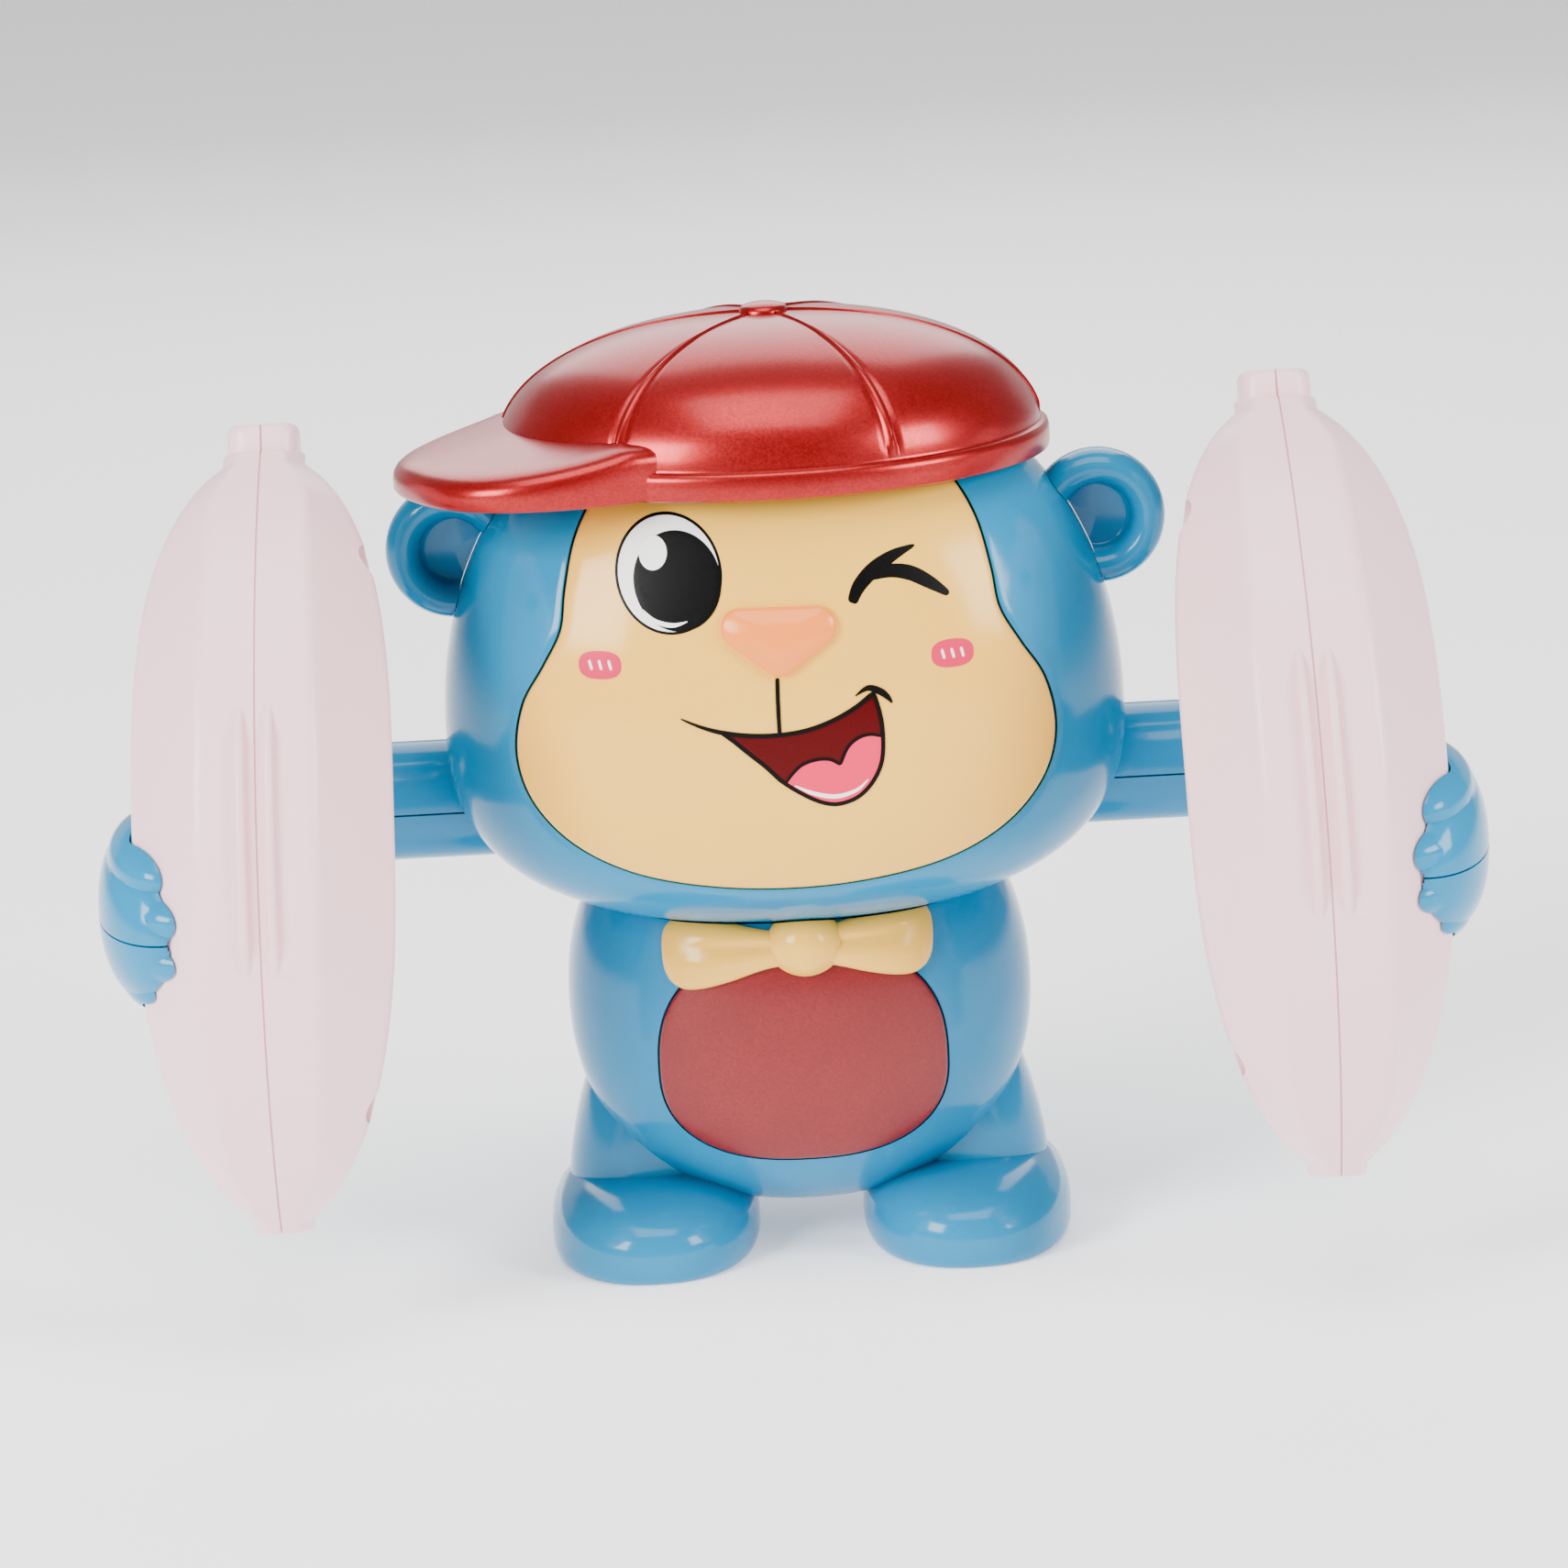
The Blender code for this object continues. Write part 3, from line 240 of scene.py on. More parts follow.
BLUE_ABS = abs_plastic("blue_abs", "007aa8", "0283b0", 0.14)
PINK_ABS = abs_plastic("pink_abs", "fdd3da", "fbccd4", 0.28)
CREAM_ABS = abs_plastic("cream_abs", "f6bf4c", "f3b945", 0.16)
PEACH_ABS = abs_plastic("peach_abs", "ff8c34", "fc862d", 0.20)
BLACK_ABS = abs_plastic("black_abs", "1c1c1e", "222225", 0.45)
GREY_ABS = abs_plastic("grey_abs", "5a5d60", "63666a", 0.45)
ACETAL = abs_plastic("natural_acetal", "e9e6dc", "e2dfd4", 0.42)
LAMINATE = abs_plastic("green_laminate", "1d5a32", "23663a", 0.38)
SLEEVE = abs_plastic("cell_sleeve", "205236", "2a6243", 0.30)
print("nine plastics")

# %% [markdown]
# The cap and the belly are ABS sprayed with a pearl lacquer: a red base full of fine mica flakes, each
# lying at its own angle, under a clear coat. A real flake is about 0.05 mm across, which is too fine to
# show, so they are drawn 0.3 mm across. Each Voronoi cell is one flake with its own tone and tilt.

# %% Pearl lacquer
FLAKE, FLAKE_TILT, CLOUD = 0.3 * MM, 0.004 * MM, 9.0 * MM
COAT, COAT_ROUGH = 0.2, 0.16


def pearl_lacquer(name, deep, bright, rough, metal):
    """Red pearl paint: flakes of two tones, a slightly uneven coat, and a clear gloss on top."""
    made, tree, shader, place = new_material(name)
    flakes = add(tree, "ShaderNodeTexVoronoi", {"Scale": 1.0 / FLAKE}, {"Vector": place})
    split = add(tree, "ShaderNodeSeparateColor", {}, {"Color": flakes.outputs["Color"]})
    cloud = add(tree, "ShaderNodeTexNoise", {"Scale": 1.0 / CLOUD, "Detail": 2.0}, {"Vector": place})
    share = add(tree, "ShaderNodeMath", {"operation": "MULTIPLY"})
    tree.links.new(split.outputs["Red"], share.inputs[0])
    tree.links.new(cloud.outputs["Fac"], share.inputs[1])
    ramp = add(tree, "ShaderNodeValToRGB", {}, {"Fac": share.outputs["Value"]})
    ramp.color_ramp.elements[0].color = linear(deep)
    ramp.color_ramp.elements[1].color = linear(bright)
    tree.links.new(ramp.outputs["Color"], shader.inputs["Base Color"])
    bump = add(tree, "ShaderNodeBump", {"Strength": 1.0, "Distance": FLAKE_TILT},
               {"Height": split.outputs["Green"]})
    tree.links.new(bump.outputs["Normal"], shader.inputs["Normal"])
    for key, value in (("Metallic", metal), ("Roughness", rough), ("Coat Weight", COAT),
                       ("Coat Roughness", COAT_ROUGH)):
        shader.inputs[key].default_value = value
    return made


PEARL_RED = pearl_lacquer("pearl_red_lacquer", "8e0307", "b4161c", 0.30, 0.65)
PEARL_BELLY = pearl_lacquer("pearl_belly_lacquer", "74060a", "8e1218", 0.40, 0.22)

# %% [markdown]
# The face is pad-printed: a silicone pad stamps thin glossy inks onto the plate. Each ink is nearly flat
# in colour; a fine unevenness in its gloss is all that the eye sees. The hardware is nickel-plated steel
# and brass, with fine turning marks.

# %% Inks and metals
INK_GRAIN, TURNED, INK_SPECULAR = 0.7 * MM, 0.25 * MM, 0.12


def ink(name, tone, rough=0.28):
    """Pad-printed ink with a slightly uneven gloss."""
    made, tree, shader, place = new_material(name)
    grain = add(tree, "ShaderNodeTexNoise", {"Scale": 1.0 / INK_GRAIN, "Detail": 2.0}, {"Vector": place})
    gloss = add(tree, "ShaderNodeMapRange", {"To Min": rough * 0.8, "To Max": rough * 1.3},
                {"Value": grain.outputs["Fac"]})
    tree.links.new(gloss.outputs["Result"], shader.inputs["Roughness"])
    shader.inputs["Base Color"].default_value = linear(tone)
    shader.inputs["Specular IOR Level"].default_value = INK_SPECULAR
    return made


def turned_metal(name, tone, rough):
    """Plated or turned metal with fine marks in its gloss."""
    made, tree, shader, place = new_material(name)
    marks = add(tree, "ShaderNodeTexNoise", {"Scale": 1.0 / TURNED, "Detail": 3.0}, {"Vector": place})
    gloss = add(tree, "ShaderNodeMapRange", {"To Min": rough * 0.7, "To Max": rough * 1.4},
                {"Value": marks.outputs["Fac"]})
    tree.links.new(gloss.outputs["Result"], shader.inputs["Roughness"])
    shader.inputs["Base Color"].default_value = linear(tone)
    shader.inputs["Metallic"].default_value = 1.0
    return made


BLACK_INK, WHITE_INK = ink("black_ink", "040303", 0.40), ink("white_ink", "fbfaf7")
MOUTH_INK, TONGUE_INK = ink("mouth_red_ink", "4c0002"), ink("tongue_pink_ink", "e62252")
CHEEK_INK = ink("cheek_pink_ink", "d81f50")
NICKEL, BRASS = turned_metal("nickel_steel", "c9cacb", 0.30), turned_metal("brass", "d3ad62", 0.32)
print("five inks, two metals")

# %% [markdown]
# The floor is matt studio paper: nearly pure white, quite rough, with a faint unevenness of its fibres, so
# that it takes soft shadows and gives no mirror image of the toy. A little light of its own keeps it pale.

# %% Studio paper
PAPER_FIBRE, PAPER_GLOW = 4.0 * MM, 0.50


def studio_paper(name, tone, fold_tone, rough):
    """Matt white paper with faint fibres."""
    made, tree, shader, place = new_material(name)
    fibre = add(tree, "ShaderNodeTexNoise", {"Scale": 1.0 / PAPER_FIBRE, "Detail": 3.0}, {"Vector": place})
    tones = add(tree, "ShaderNodeMix", {"data_type": "RGBA"}, {"Factor": fibre.outputs["Fac"]})
    tones.inputs["A"].default_value, tones.inputs["B"].default_value = linear(tone), linear(fold_tone)
    tree.links.new(tones.outputs["Result"], shader.inputs["Base Color"])
    for key, value in (("Roughness", rough), ("Specular IOR Level", 0.1), ("Emission Strength", PAPER_GLOW),
                       ("Emission Color", linear("ffffff"))):
        shader.inputs[key].default_value = value
    return made


floor.data.materials.append(studio_paper("studio_paper", "fdfdfd", "fafafa", 0.9))

# %% [markdown]
# ## One way to make every moulded form
# A moulded toy is made of smooth, closed forms that follow simple rules: eggs, domes, rounded pads. Each
# is drawn here as a row of rings, and a flat grid is rolled up through those rings. A grid keeps its
# faces in even rows, so gloss runs over it without a ripple, which a cut mesh can't promise.
# Places are in the toy's own millimetres: side (+ to the toy's left), forward of the axle, and height.

# %% Places and rolled grids
WELD = 0.002 * MM


def toy(side, forward, height):
    """A place in the toy's own millimetres, in metres."""
    return Vector((side * MM, AXLE.y - forward * MM, height * MM))


def put(piece, body, slot, finish, *nodes):
    """Give a finished piece its material and smooth faces, attach it to its body, and hide the CAD nodes it
    stands in for.
    """
    piece.data.materials.clear()
    piece.data.materials.append(finish)
    only(piece)
    bpy.ops.object.shade_smooth_by_angle(angle=math.radians(38.0))
    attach(piece, body)
    if nodes:
        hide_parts(*nodes)
    return piece


def rolled(name, rings, ring_closed=True, loop=False):
    """Roll a grid up through rings of toy places; `loop` also joins the last ring to the first."""
    rows = [list(ring) + ([ring[0]] if ring_closed else []) for ring in rings]
    if loop:
        rows.append(rows[0])
    deselect()
    bpy.ops.mesh.primitive_grid_add(x_subdivisions=len(rows[0]) - 1, y_subdivisions=len(rows) - 1, size=1.0)
    made = bpy.context.object
    made.name = made.data.name = name
    places = [number for row in rows for point in row for number in toy(*point)]
    made.data.vertices.foreach_set("co", places)
    bpy.ops.object.mode_set(mode="EDIT")
    bpy.ops.mesh.select_all(action="SELECT")
    bpy.ops.mesh.remove_doubles(threshold=WELD)
    bpy.ops.mesh.fill_holes(sides=0)
    bpy.ops.mesh.normals_make_consistent(inside=False)
    bpy.ops.object.mode_set(mode="OBJECT")
    return made


def boolean(piece, tool, how):
    """Cut, join or keep with another closed piece, which is used up."""
    only(piece)
    change = piece.modifiers.new(how, "BOOLEAN")
    change.operation, change.solver, change.object = how, "EXACT", tool
    bpy.ops.object.modifier_apply(modifier=change.name)
    bpy.data.objects.remove(tool)
    bpy.ops.object.mode_set(mode="EDIT")
    bpy.ops.mesh.select_all(action="SELECT")
    bpy.ops.mesh.remove_doubles(threshold=WELD)
    bpy.ops.object.mode_set(mode="OBJECT")
    return piece


def bisected(piece, name, at, normal):
    """A copy of the piece, cut flat at a toy place; what lies along the normal is removed."""
    only(piece)
    bpy.ops.object.duplicate()
    half = bpy.context.object
    half.name = half.data.name = name
    bpy.ops.object.mode_set(mode="EDIT")
    bpy.ops.mesh.select_all(action="SELECT")
    bpy.ops.mesh.bisect(plane_co=toy(*at), plane_no=normal, use_fill=True, clear_outer=True)
    bpy.ops.object.mode_set(mode="OBJECT")
    return half


def curve_through(points, count, closed=True):
    """A smooth curve through a few points of any size, as `count` evenly stepped points."""
    size = len(points)
    spans = size if closed else size - 1
    made = []
    for step in range(count):
        place = spans * step / (count if closed else count - 1)
        here = min(int(place), spans - 1)
        share = place - here
        if closed:
            four = [Vector(points[(here + shift) % size]) for shift in (-1, 0, 1, 2)]
        else:
            four = [Vector(points[min(max(here + shift, 0), size - 1)]) for shift in (-1, 0, 1, 2)]
        before, first, second, after = four
        made.append(0.5 * (2 * first + (second - before) * share
                           + (2 * before - 5 * first + 4 * second - after) * share ** 2
                           + (3 * first - before - 3 * second + after) * share ** 3))
    return made


def even(points, count):
    """The same closed outline with its points at equal distances."""
    lengths = [0.0]
    for index, point in enumerate(points):
        lengths.append(lengths[-1] + (points[(index + 1) % len(points)] - point).length)
    made, here = [], 0
    for step in range(count):
        wanted = lengths[-1] * step / count
        while lengths[here + 1] < wanted:
            here += 1
        share = (wanted - lengths[here]) / (lengths[here + 1] - lengths[here])
        made.append(points[here].lerp(points[(here + 1) % len(points)], share))
    return made


def oval(width, depth, count, square=2.0):
    """Points of a superellipse; `square` above 2 makes its shoulders fuller."""
    made = []
    for step in range(count):
        angle = 2 * math.pi * step / count
        cosine, sine = math.cos(angle), math.sin(angle)
        made.append((width * math.copysign(abs(cosine) ** (2 / square), cosine),
                     depth * math.copysign(abs(sine) ** (2 / square), sine)))
    return made


print("helpers ready")

# %% [markdown]
# ## The two eggs
# The head and the torso are eggs: a squarish superellipse seen from above, which shrinks towards the
# crown and the chin by another. The rule below gives the point where a line from the egg's middle meets
# its surface, and the forward place of any point on its face, so every shell, panel and print lies on
# exactly the same surface.

# %% Egg rule
HEAD = dict(forward=14.0, level=88.5, width=54.2, depth=38.5, up=57.0, down=31.5, top=2.2, base=2.5)
TORSO = dict(forward=2.5, level=41.2, width=37.7, depth=30.5, up=36.5, down=35.2, top=2.2, base=2.2)
SQUARE = 2.3
HEAD_SPLIT, BODY_SPLIT, GAP, WALL = 11.2, 0.0, 0.3, 2.0


def on_egg(shape, direction, grow=0.0):
    """Where a direction from the egg's middle (side, forward, up) meets the egg, grown all round."""
    side, ahead, rise = direction
    power = shape["top"] if rise > 0 else shape["base"]
    reach = shape["up"] if rise > 0 else shape["down"]
    around = abs(side / (shape["width"] + grow)) ** SQUARE + abs(ahead / (shape["depth"] + grow)) ** SQUARE
    size = around ** (power / SQUARE) + abs(rise / (reach + grow)) ** power
    far = size ** (-1.0 / power)
    return side * far, shape["forward"] + ahead * far, shape["level"] + rise * far


def face_of(shape, side, height, grow=0.0):
    """The place on the egg's front above or below, left or right of its middle."""
    rise = height - shape["level"]
    power = shape["top"] if rise > 0 else shape["base"]
    reach = (shape["up"] if rise > 0 else shape["down"]) + grow
    room = max(1 - abs(rise / reach) ** power, 0.0) ** (SQUARE / power)
    left = max(room - abs(side / (shape["width"] + grow)) ** SQUARE, 0.0)
    return side, shape["forward"] + (shape["depth"] + grow) * left ** (1 / SQUARE), height


def egg(name, shape, grow=0.0, count=128, levels=64):
    """The whole egg as a closed body."""
    rings = []
    for level in range(levels + 1):
        tilt = math.pi * (level / levels - 0.5)
        ring = []
        for side, ahead in oval(1.0, 1.0, count):
            ring.append(on_egg(shape, (side * math.cos(tilt), ahead * math.cos(tilt), math.sin(tilt)), grow))
        rings.append(ring)
    return rolled(name, rings)


def shifted(outline, grow):
    """An outline moved outwards, square to itself; its points run anticlockwise."""
    made = []
    for index, point in enumerate(outline):
        along = (outline[(index + 1) % len(outline)] - outline[index - 1]).normalized()
        made.append(Vector((point.x + along.y * grow, point.y - along.x * grow)))
    return made


def pad(name, shape, outline, middle, low, high, edge, rings=18):
    """A plate that lies on an egg's face inside an outline, with a rounded edge."""
    def ring(outline_now, share, grow):
        centre = Vector(middle)
        points = [centre.lerp(point, share) for point in outline_now]
        return [face_of(shape, point.x, point.y, grow) for point in points]

    inner = shifted(outline, -edge)
    made = [ring(inner, (step / rings) ** 0.8, high) for step in range(rings + 1)]
    for step in range(1, 5):
        turn = math.radians(90.0 * step / 4)
        made.append(ring(shifted(outline, -edge * (1 - math.sin(turn))), 1.0,
                         high - edge * (1 - math.cos(turn))))
    made.append(ring(outline, 1.0, low))
    made.append(ring(outline, 0.0, low))
    return rolled(name, made)


print("head", round(on_egg(HEAD, (1, 0, 0))[0] * 2, 1), "mm wide")

# %% [markdown]
# ## The face plate
# The face is one cream plate in the shape of two brows over a wide muzzle. It drops into a rebate in the
# front shell and stands half a millimetre proud, with a softly rounded edge and a hairline gap round it.
# Its outline is a smooth curve through a few points, cut off level just under the cap.

# %% Face plate
FACE_TOP = 129.4
FACE_HALF = [(0.0, 68.0), (12.0, 68.8), (24.0, 71.3), (33.4, 76.0), (39.6, 82.6), (41.9, 90.0), (40.6, 98.0),
             (36.9, 104.4), (33.9, 110.0), (32.9, 116.0), (31.2, 123.0), (28.4, 128.5), (24.0, 134.0),
             (12.0, 138.0)]
face_points = FACE_HALF + [(0.0, 139.0)] + [(-side, height) for side, height in reversed(FACE_HALF[1:])]
face_outline = even([Vector((point.x, min(point.y, FACE_TOP)))
                     for point in curve_through(face_points, 600)], 240)
FACE_MIDDLE = (0.0, 97.0)
plate = pad("face_plate_moulding", HEAD, face_outline, FACE_MIDDLE, -1.0, 0.5, 0.5)
put(plate, "toy_body", "cream_trim", CREAM_ABS, "face_plate")
print("face plate:", len(plate.data.polygons), "faces")

# %% [markdown]
# ## The head's shells
# The front shell is a ring: it starts at the rebate round the face and sweeps back to the joint between
# the shells. Its rings of points turn step by step from the face's outline to the joint's outline, always
# on the egg, and then come back on the inside 2 mm deeper. The rear shell is a bowl made the same way.

# %% Head shells
def split_direction(shape, split, angle):
    """The direction from the egg's middle to its edge in an upright plane, at an angle round it."""
    ahead = split - shape["forward"]
    low, high = 0.0, 200.0
    for _ in range(40):
        reach = (low + high) / 2
        place = on_egg(shape, (reach * math.cos(angle), ahead, reach * math.sin(angle)))
        if abs(place[1] - shape["forward"]) > abs(ahead):
            low = reach
        else:
            high = reach
    return Vector((low * math.cos(angle), ahead, low * math.sin(angle)))


def swept(shape, start, end, steps, grow):
    """Rings on the egg that turn from one ring of directions to another."""
    made = []
    for step in range(steps + 1):
        share = step / steps
        made.append([on_egg(shape, first.normalized().slerp(last.normalized(), share), grow)
                     for first, last in zip(start, end)])
    return made


def directions(shape, outline):
    """From the egg's middle to an outline on its face."""
    middle = Vector((0.0, shape["forward"], shape["level"]))
    return [Vector(face_of(shape, point.x, point.y)) - middle for point in outline]


rebate = shifted(face_outline, GAP)
lip = shifted(face_outline, GAP + 0.35)
lip_directions = directions(HEAD, lip)
angles = [math.atan2(way.z, way.x) for way in lip_directions]
front_edge = [split_direction(HEAD, HEAD_SPLIT + GAP / 2, angle) for angle in angles]
rear_edge = [split_direction(HEAD, HEAD_SPLIT - GAP / 2, angle) for angle in angles]

outer = swept(HEAD, lip_directions, front_edge, 26, 0.0)
inner = swept(HEAD, lip_directions, front_edge, 26, -WALL)
wall = [[face_of(HEAD, p.x, p.y, grow) for p in rebate] for grow in (-WALL, -0.35)]
wall.append([face_of(HEAD, p.x, p.y, -0.1) for p in shifted(face_outline, GAP + 0.1)])
front_shell = rolled("head_front_moulding", wall + outer + inner[::-1], loop=True)
put(front_shell, "toy_body", "blue_shell", BLUE_ABS, "head_front_shell")

back_pole = [Vector((0.0, -1.0, 0.0))] * len(rear_edge)
outer = swept(HEAD, back_pole, rear_edge, 30, 0.0)
inner = swept(HEAD, back_pole, rear_edge, 30, -WALL)
rear_shell = rolled("head_rear_moulding", outer + inner[::-1])
print("head shells:", len(front_shell.data.polygons), len(rear_shell.data.polygons), "faces")

# %% [markdown]
# The rear shell carries the shoulders: a shallow round pocket that the arm turns in, and a boss that the
# arm's end runs against. Two screws enter from behind through deep wells, as on any clamshell toy.

# %% Shoulders and screw wells
AXLE_HEIGHT = AXLE.z / MM
ARM_RADIUS, SHOULDER_END = 9.6, 47.0
SCREW_WELL = 3.0


def round_bar(name, axis, start, end, radius, at, soften=0.0, count=64):
    """A bar along `side` or `forward`, its ends softened, for bosses, wells and bores."""
    rings = []
    ends = [(start, soften), (start + math.copysign(soften, end - start), 0.0)]
    ends += [(end - math.copysign(soften, end - start), 0.0), (end, soften)]
    for place, less in ends if soften else [(start, 0.0), (end, 0.0)]:
        ring = []
        for a, b in oval(radius - less, radius - less, count):
            ring.append((place, at[0] + a, at[1] + b) if axis == "side" else (at[0] + a, place, at[1] + b))
        rings.append(ring)
    return rolled(name, rings)


for side in (-1, 1):
    boss = round_bar("boss", "side", side * 38.0, side * SHOULDER_END, ARM_RADIUS, (0.0, AXLE_HEIGHT), 0.3)
    boolean(rear_shell, boss, "UNION")
    pocket = round_bar("pocket", "side", side * (SHOULDER_END + 0.2), side * 80.0, ARM_RADIUS + 1.0,
                       (0.0, AXLE_HEIGHT))
    boolean(rear_shell, pocket, "DIFFERENCE")
    well = round_bar("well", "forward", -60.0, -2.0, SCREW_WELL, (side * 41.0, 100.0), count=32)
    boolean(rear_shell, well, "DIFFERENCE")
put(rear_shell, "toy_body", "blue_shell", BLUE_ABS, "head_rear_shell")
print("rear shell:", len(rear_shell.data.polygons), "faces")

# %% [markdown]
# ## Ears and nose
# Each ear is a fat ring round a flat-floored cup. It is a turned form, so its profile is drawn once, from
# the cup's middle out over the ring and round the back, and swept about the ear's own axis. The nose is a
# rounded triangle that swells like a pillow, standing on a thin step.

# %% Ears
EAR_SIDE, EAR_FORWARD, EAR_HEIGHT, EAR_RADIUS, EAR_CUP = 51.2, 14.0, 118.2, 10.8, 5.3


def turned(name, profile, at, count=72):
    """Sweep a (forward, radius) profile about a line that runs forwards through `at`."""
    return rolled(name, [[(at[0] + a, forward, at[1] + b) for a, b in oval(radius, radius, count)]
                         for forward, radius in profile])


ring_middle, ring_half = (EAR_RADIUS + EAR_CUP) / 2, (EAR_RADIUS - EAR_CUP) / 2
ear_profile = [(-0.8, 0.0), (-0.8, EAR_CUP - 0.7), (-0.5, EAR_CUP - 0.2)]
for step in range(25):
    turn = math.radians(180.0 - 300.0 * step / 24)
    ear_profile.append((4.4 * math.copysign(abs(math.sin(turn)) ** 0.85, math.sin(turn)),
                        ring_middle + ring_half * math.cos(turn)))
ear_profile += [(-4.5, EAR_CUP), (-4.5, 0.0)]
for side, name in ((-1, "right"), (1, "left")):
    placed = [(EAR_FORWARD + forward, radius) for forward, radius in ear_profile]
    ear = turned(f"ear_{name}_moulding", placed, (side * EAR_SIDE, EAR_HEIGHT))
    boolean(ear, egg("head", HEAD, GAP / 3), "DIFFERENCE")
    put(ear, "toy_body", "blue_shell", BLUE_ABS, f"ear_{name}")
print("two ears")

# %% Nose
NOSE_CORNERS = [(5.7, 110.3), (-6.3, 110.5), (-0.4, 105.9)]     # anticlockwise
NOSE_ROUND = 2.9


def rounded_corners(corners, radius, count=12):
    """An outline of arcs round the corners, joined by straight sides."""
    made = []
    for index, corner in enumerate(corners):
        before, here = Vector(corners[index - 1]), Vector(corner)
        after = Vector(corners[(index + 1) % len(corners)])
        start, end = (here - before).normalized(), (after - here).normalized()
        first, last = math.atan2(-start.x, start.y), math.atan2(-end.x, end.y)
        if last < first:
            last += 2 * math.pi
        for step in range(count + 1):
            turn = first + (last - first) * step / count
            made.append(here + Vector((math.cos(turn), math.sin(turn))) * radius)
    return made


nose_outline = even(rounded_corners(NOSE_CORNERS, NOSE_ROUND), 120)
nose_middle = Vector((-0.35, 108.9))
nose_rings = []
for inward, grow in ((0.0, -0.5), (0.0, 1.3), (0.12, 1.55), (0.4, 1.75)):
    nose_rings.append([face_of(HEAD, p.x, p.y, grow) for p in shifted(nose_outline, -inward)])
for step in range(1, 13):
    share = step / 12
    swell = 1.75 + 1.35 * (1 - (1 - share) ** 2.2)
    points = [p.lerp(nose_middle, share) for p in shifted(nose_outline, -0.4)]
    nose_rings.append([face_of(HEAD, p.x, p.y, swell) for p in points])
nose = rolled("nose_moulding", nose_rings)
put(nose, "toy_body", "peach_nose", PEACH_ABS, "nose")
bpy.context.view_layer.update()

# %% [markdown]
# ## The cap
# The cap is moulded to look sewn: six panels with a raised bead along each seam, a button on top, a
# band round the rim, and a bill turned far round to the toy's right. The crown's rings are drawn by a
# rule, with points crowded round each seam so that the bead stays crisp. The beads taper towards the
# button, because they hold a fixed angle.

# %% Crown, band and button
CAP_RIM, CAP_FORWARD, CAP_WIDTH, CAP_DEPTH, CAP_RISE, CAP_BAND = 130.0, 12.5, 44.3, 38.5, 23.5, 4.4
BILL_TURN = math.radians(-64.0)
SEAM_POINTS = (-2.4, -1.5, -1.15, -0.9, -0.7, -0.5, -0.25, 0.0, 0.25, 0.5, 0.7, 0.9, 1.15, 1.5, 2.4)


def cap_angles():
    """Angles round the crown, each with its distance in mm at the rim to the nearest seam."""
    made = []
    for seam in range(6):
        middle = math.pi / 2 - BILL_TURN + math.radians(30.0 + 60.0 * seam)
        made += [(middle + place / CAP_WIDTH, abs(place)) for place in SEAM_POINTS]
        first, last = SEAM_POINTS[-1] / CAP_WIDTH, math.radians(60.0) - SEAM_POINTS[-1] / CAP_WIDTH
        made += [(middle + first + (last - first) * step / 18, 9.0) for step in range(1, 18)]
    return made


def bead(place):
    """Height of a seam's bead and the fine grooves beside it."""
    return 0.42 * math.exp(-(place / 0.52) ** 2) - 0.30 * math.exp(-((place - 1.0) / 0.26) ** 2)


def cap_ring(scale, height, grow, seams):
    """One ring of the crown, its seams raised by a share."""
    ring = []
    for angle, place in cap_angles():
        more = grow + bead(place) * seams
        ring.append(((CAP_WIDTH - 1.3 + more) * scale * math.cos(angle),
                     CAP_FORWARD + (CAP_DEPTH - 1.3 + more) * scale * math.sin(angle),
                     height + bead(place) * seams * (1 - scale)))
    return ring


def crown_ring(turn, grow, seams):
    """A ring of the dome at an angle above the band."""
    scale = max(math.cos(turn), 0.0) ** 0.85
    height = CAP_RIM + CAP_BAND - 0.4 + math.sin(turn) * (CAP_RISE - CAP_BAND + 0.4 + grow)
    return cap_ring(scale, height, grow, seams)


BAND = ((0.3, 0.35), (0.0, 0.75), (0.25, 1.15), (0.9, 1.3), (CAP_BAND - 1.2, 1.3), (CAP_BAND - 0.45, 1.12),
        (CAP_BAND - 0.08, 0.7), (CAP_BAND + 0.02, 0.25), (CAP_BAND + 0.1, 0.08), (CAP_BAND + 0.35, -0.02))
cap_rings = [cap_ring(0.0, CAP_RIM + CAP_RISE - WALL, 0.0, 0.0)]
cap_rings += [crown_ring(math.radians(88.0 - 88.0 * step / 14), -WALL, 0.0) for step in range(15)]
cap_rings += [cap_ring(1.0, CAP_RIM + place, grow, 0.0) for place, grow in BAND]
cap_rings += [crown_ring(math.radians(2.5 + 85.5 * (step / 34) ** 1.05), 0.0, min(1.0, step / 3.0))
              for step in range(35)]
cap_rings.append(cap_ring(0.0, CAP_RIM + CAP_RISE, 0.0, 0.0))
cap = rolled("cap_moulding", cap_rings)

button_rings = []
for radius, rise in ((0.0, -2.0), (5.2, -2.0), (5.2, -0.75), (4.3, -0.35), (3.9, -0.1), (3.85, 0.35),
                     (3.6, 0.9), (3.0, 1.35), (2.1, 1.65), (1.1, 1.82), (0.0, 1.88)):
    button_rings.append([(a, CAP_FORWARD + b, CAP_RIM + CAP_RISE + rise * 0.8)
                         for a, b in oval(radius, radius, 48)])
boolean(cap, rolled("button", button_rings), "UNION")

# %% Bill
BILL_ROOT, BILL_LONG, BILL_WIDE, BILL_SQUARE = 14.0, 32.0, 25.0, 2.5
BILL_TIP_TOP, BILL_ROOT_TOP = 4.9, 9.3          # height of its top face above the rim
heading = Vector((math.sin(BILL_TURN), math.cos(BILL_TURN)))
across = Vector((heading.y, -heading.x))
bill_root = Vector((CAP_WIDTH * heading.x, CAP_FORWARD + CAP_DEPTH * heading.y)) - heading * BILL_ROOT


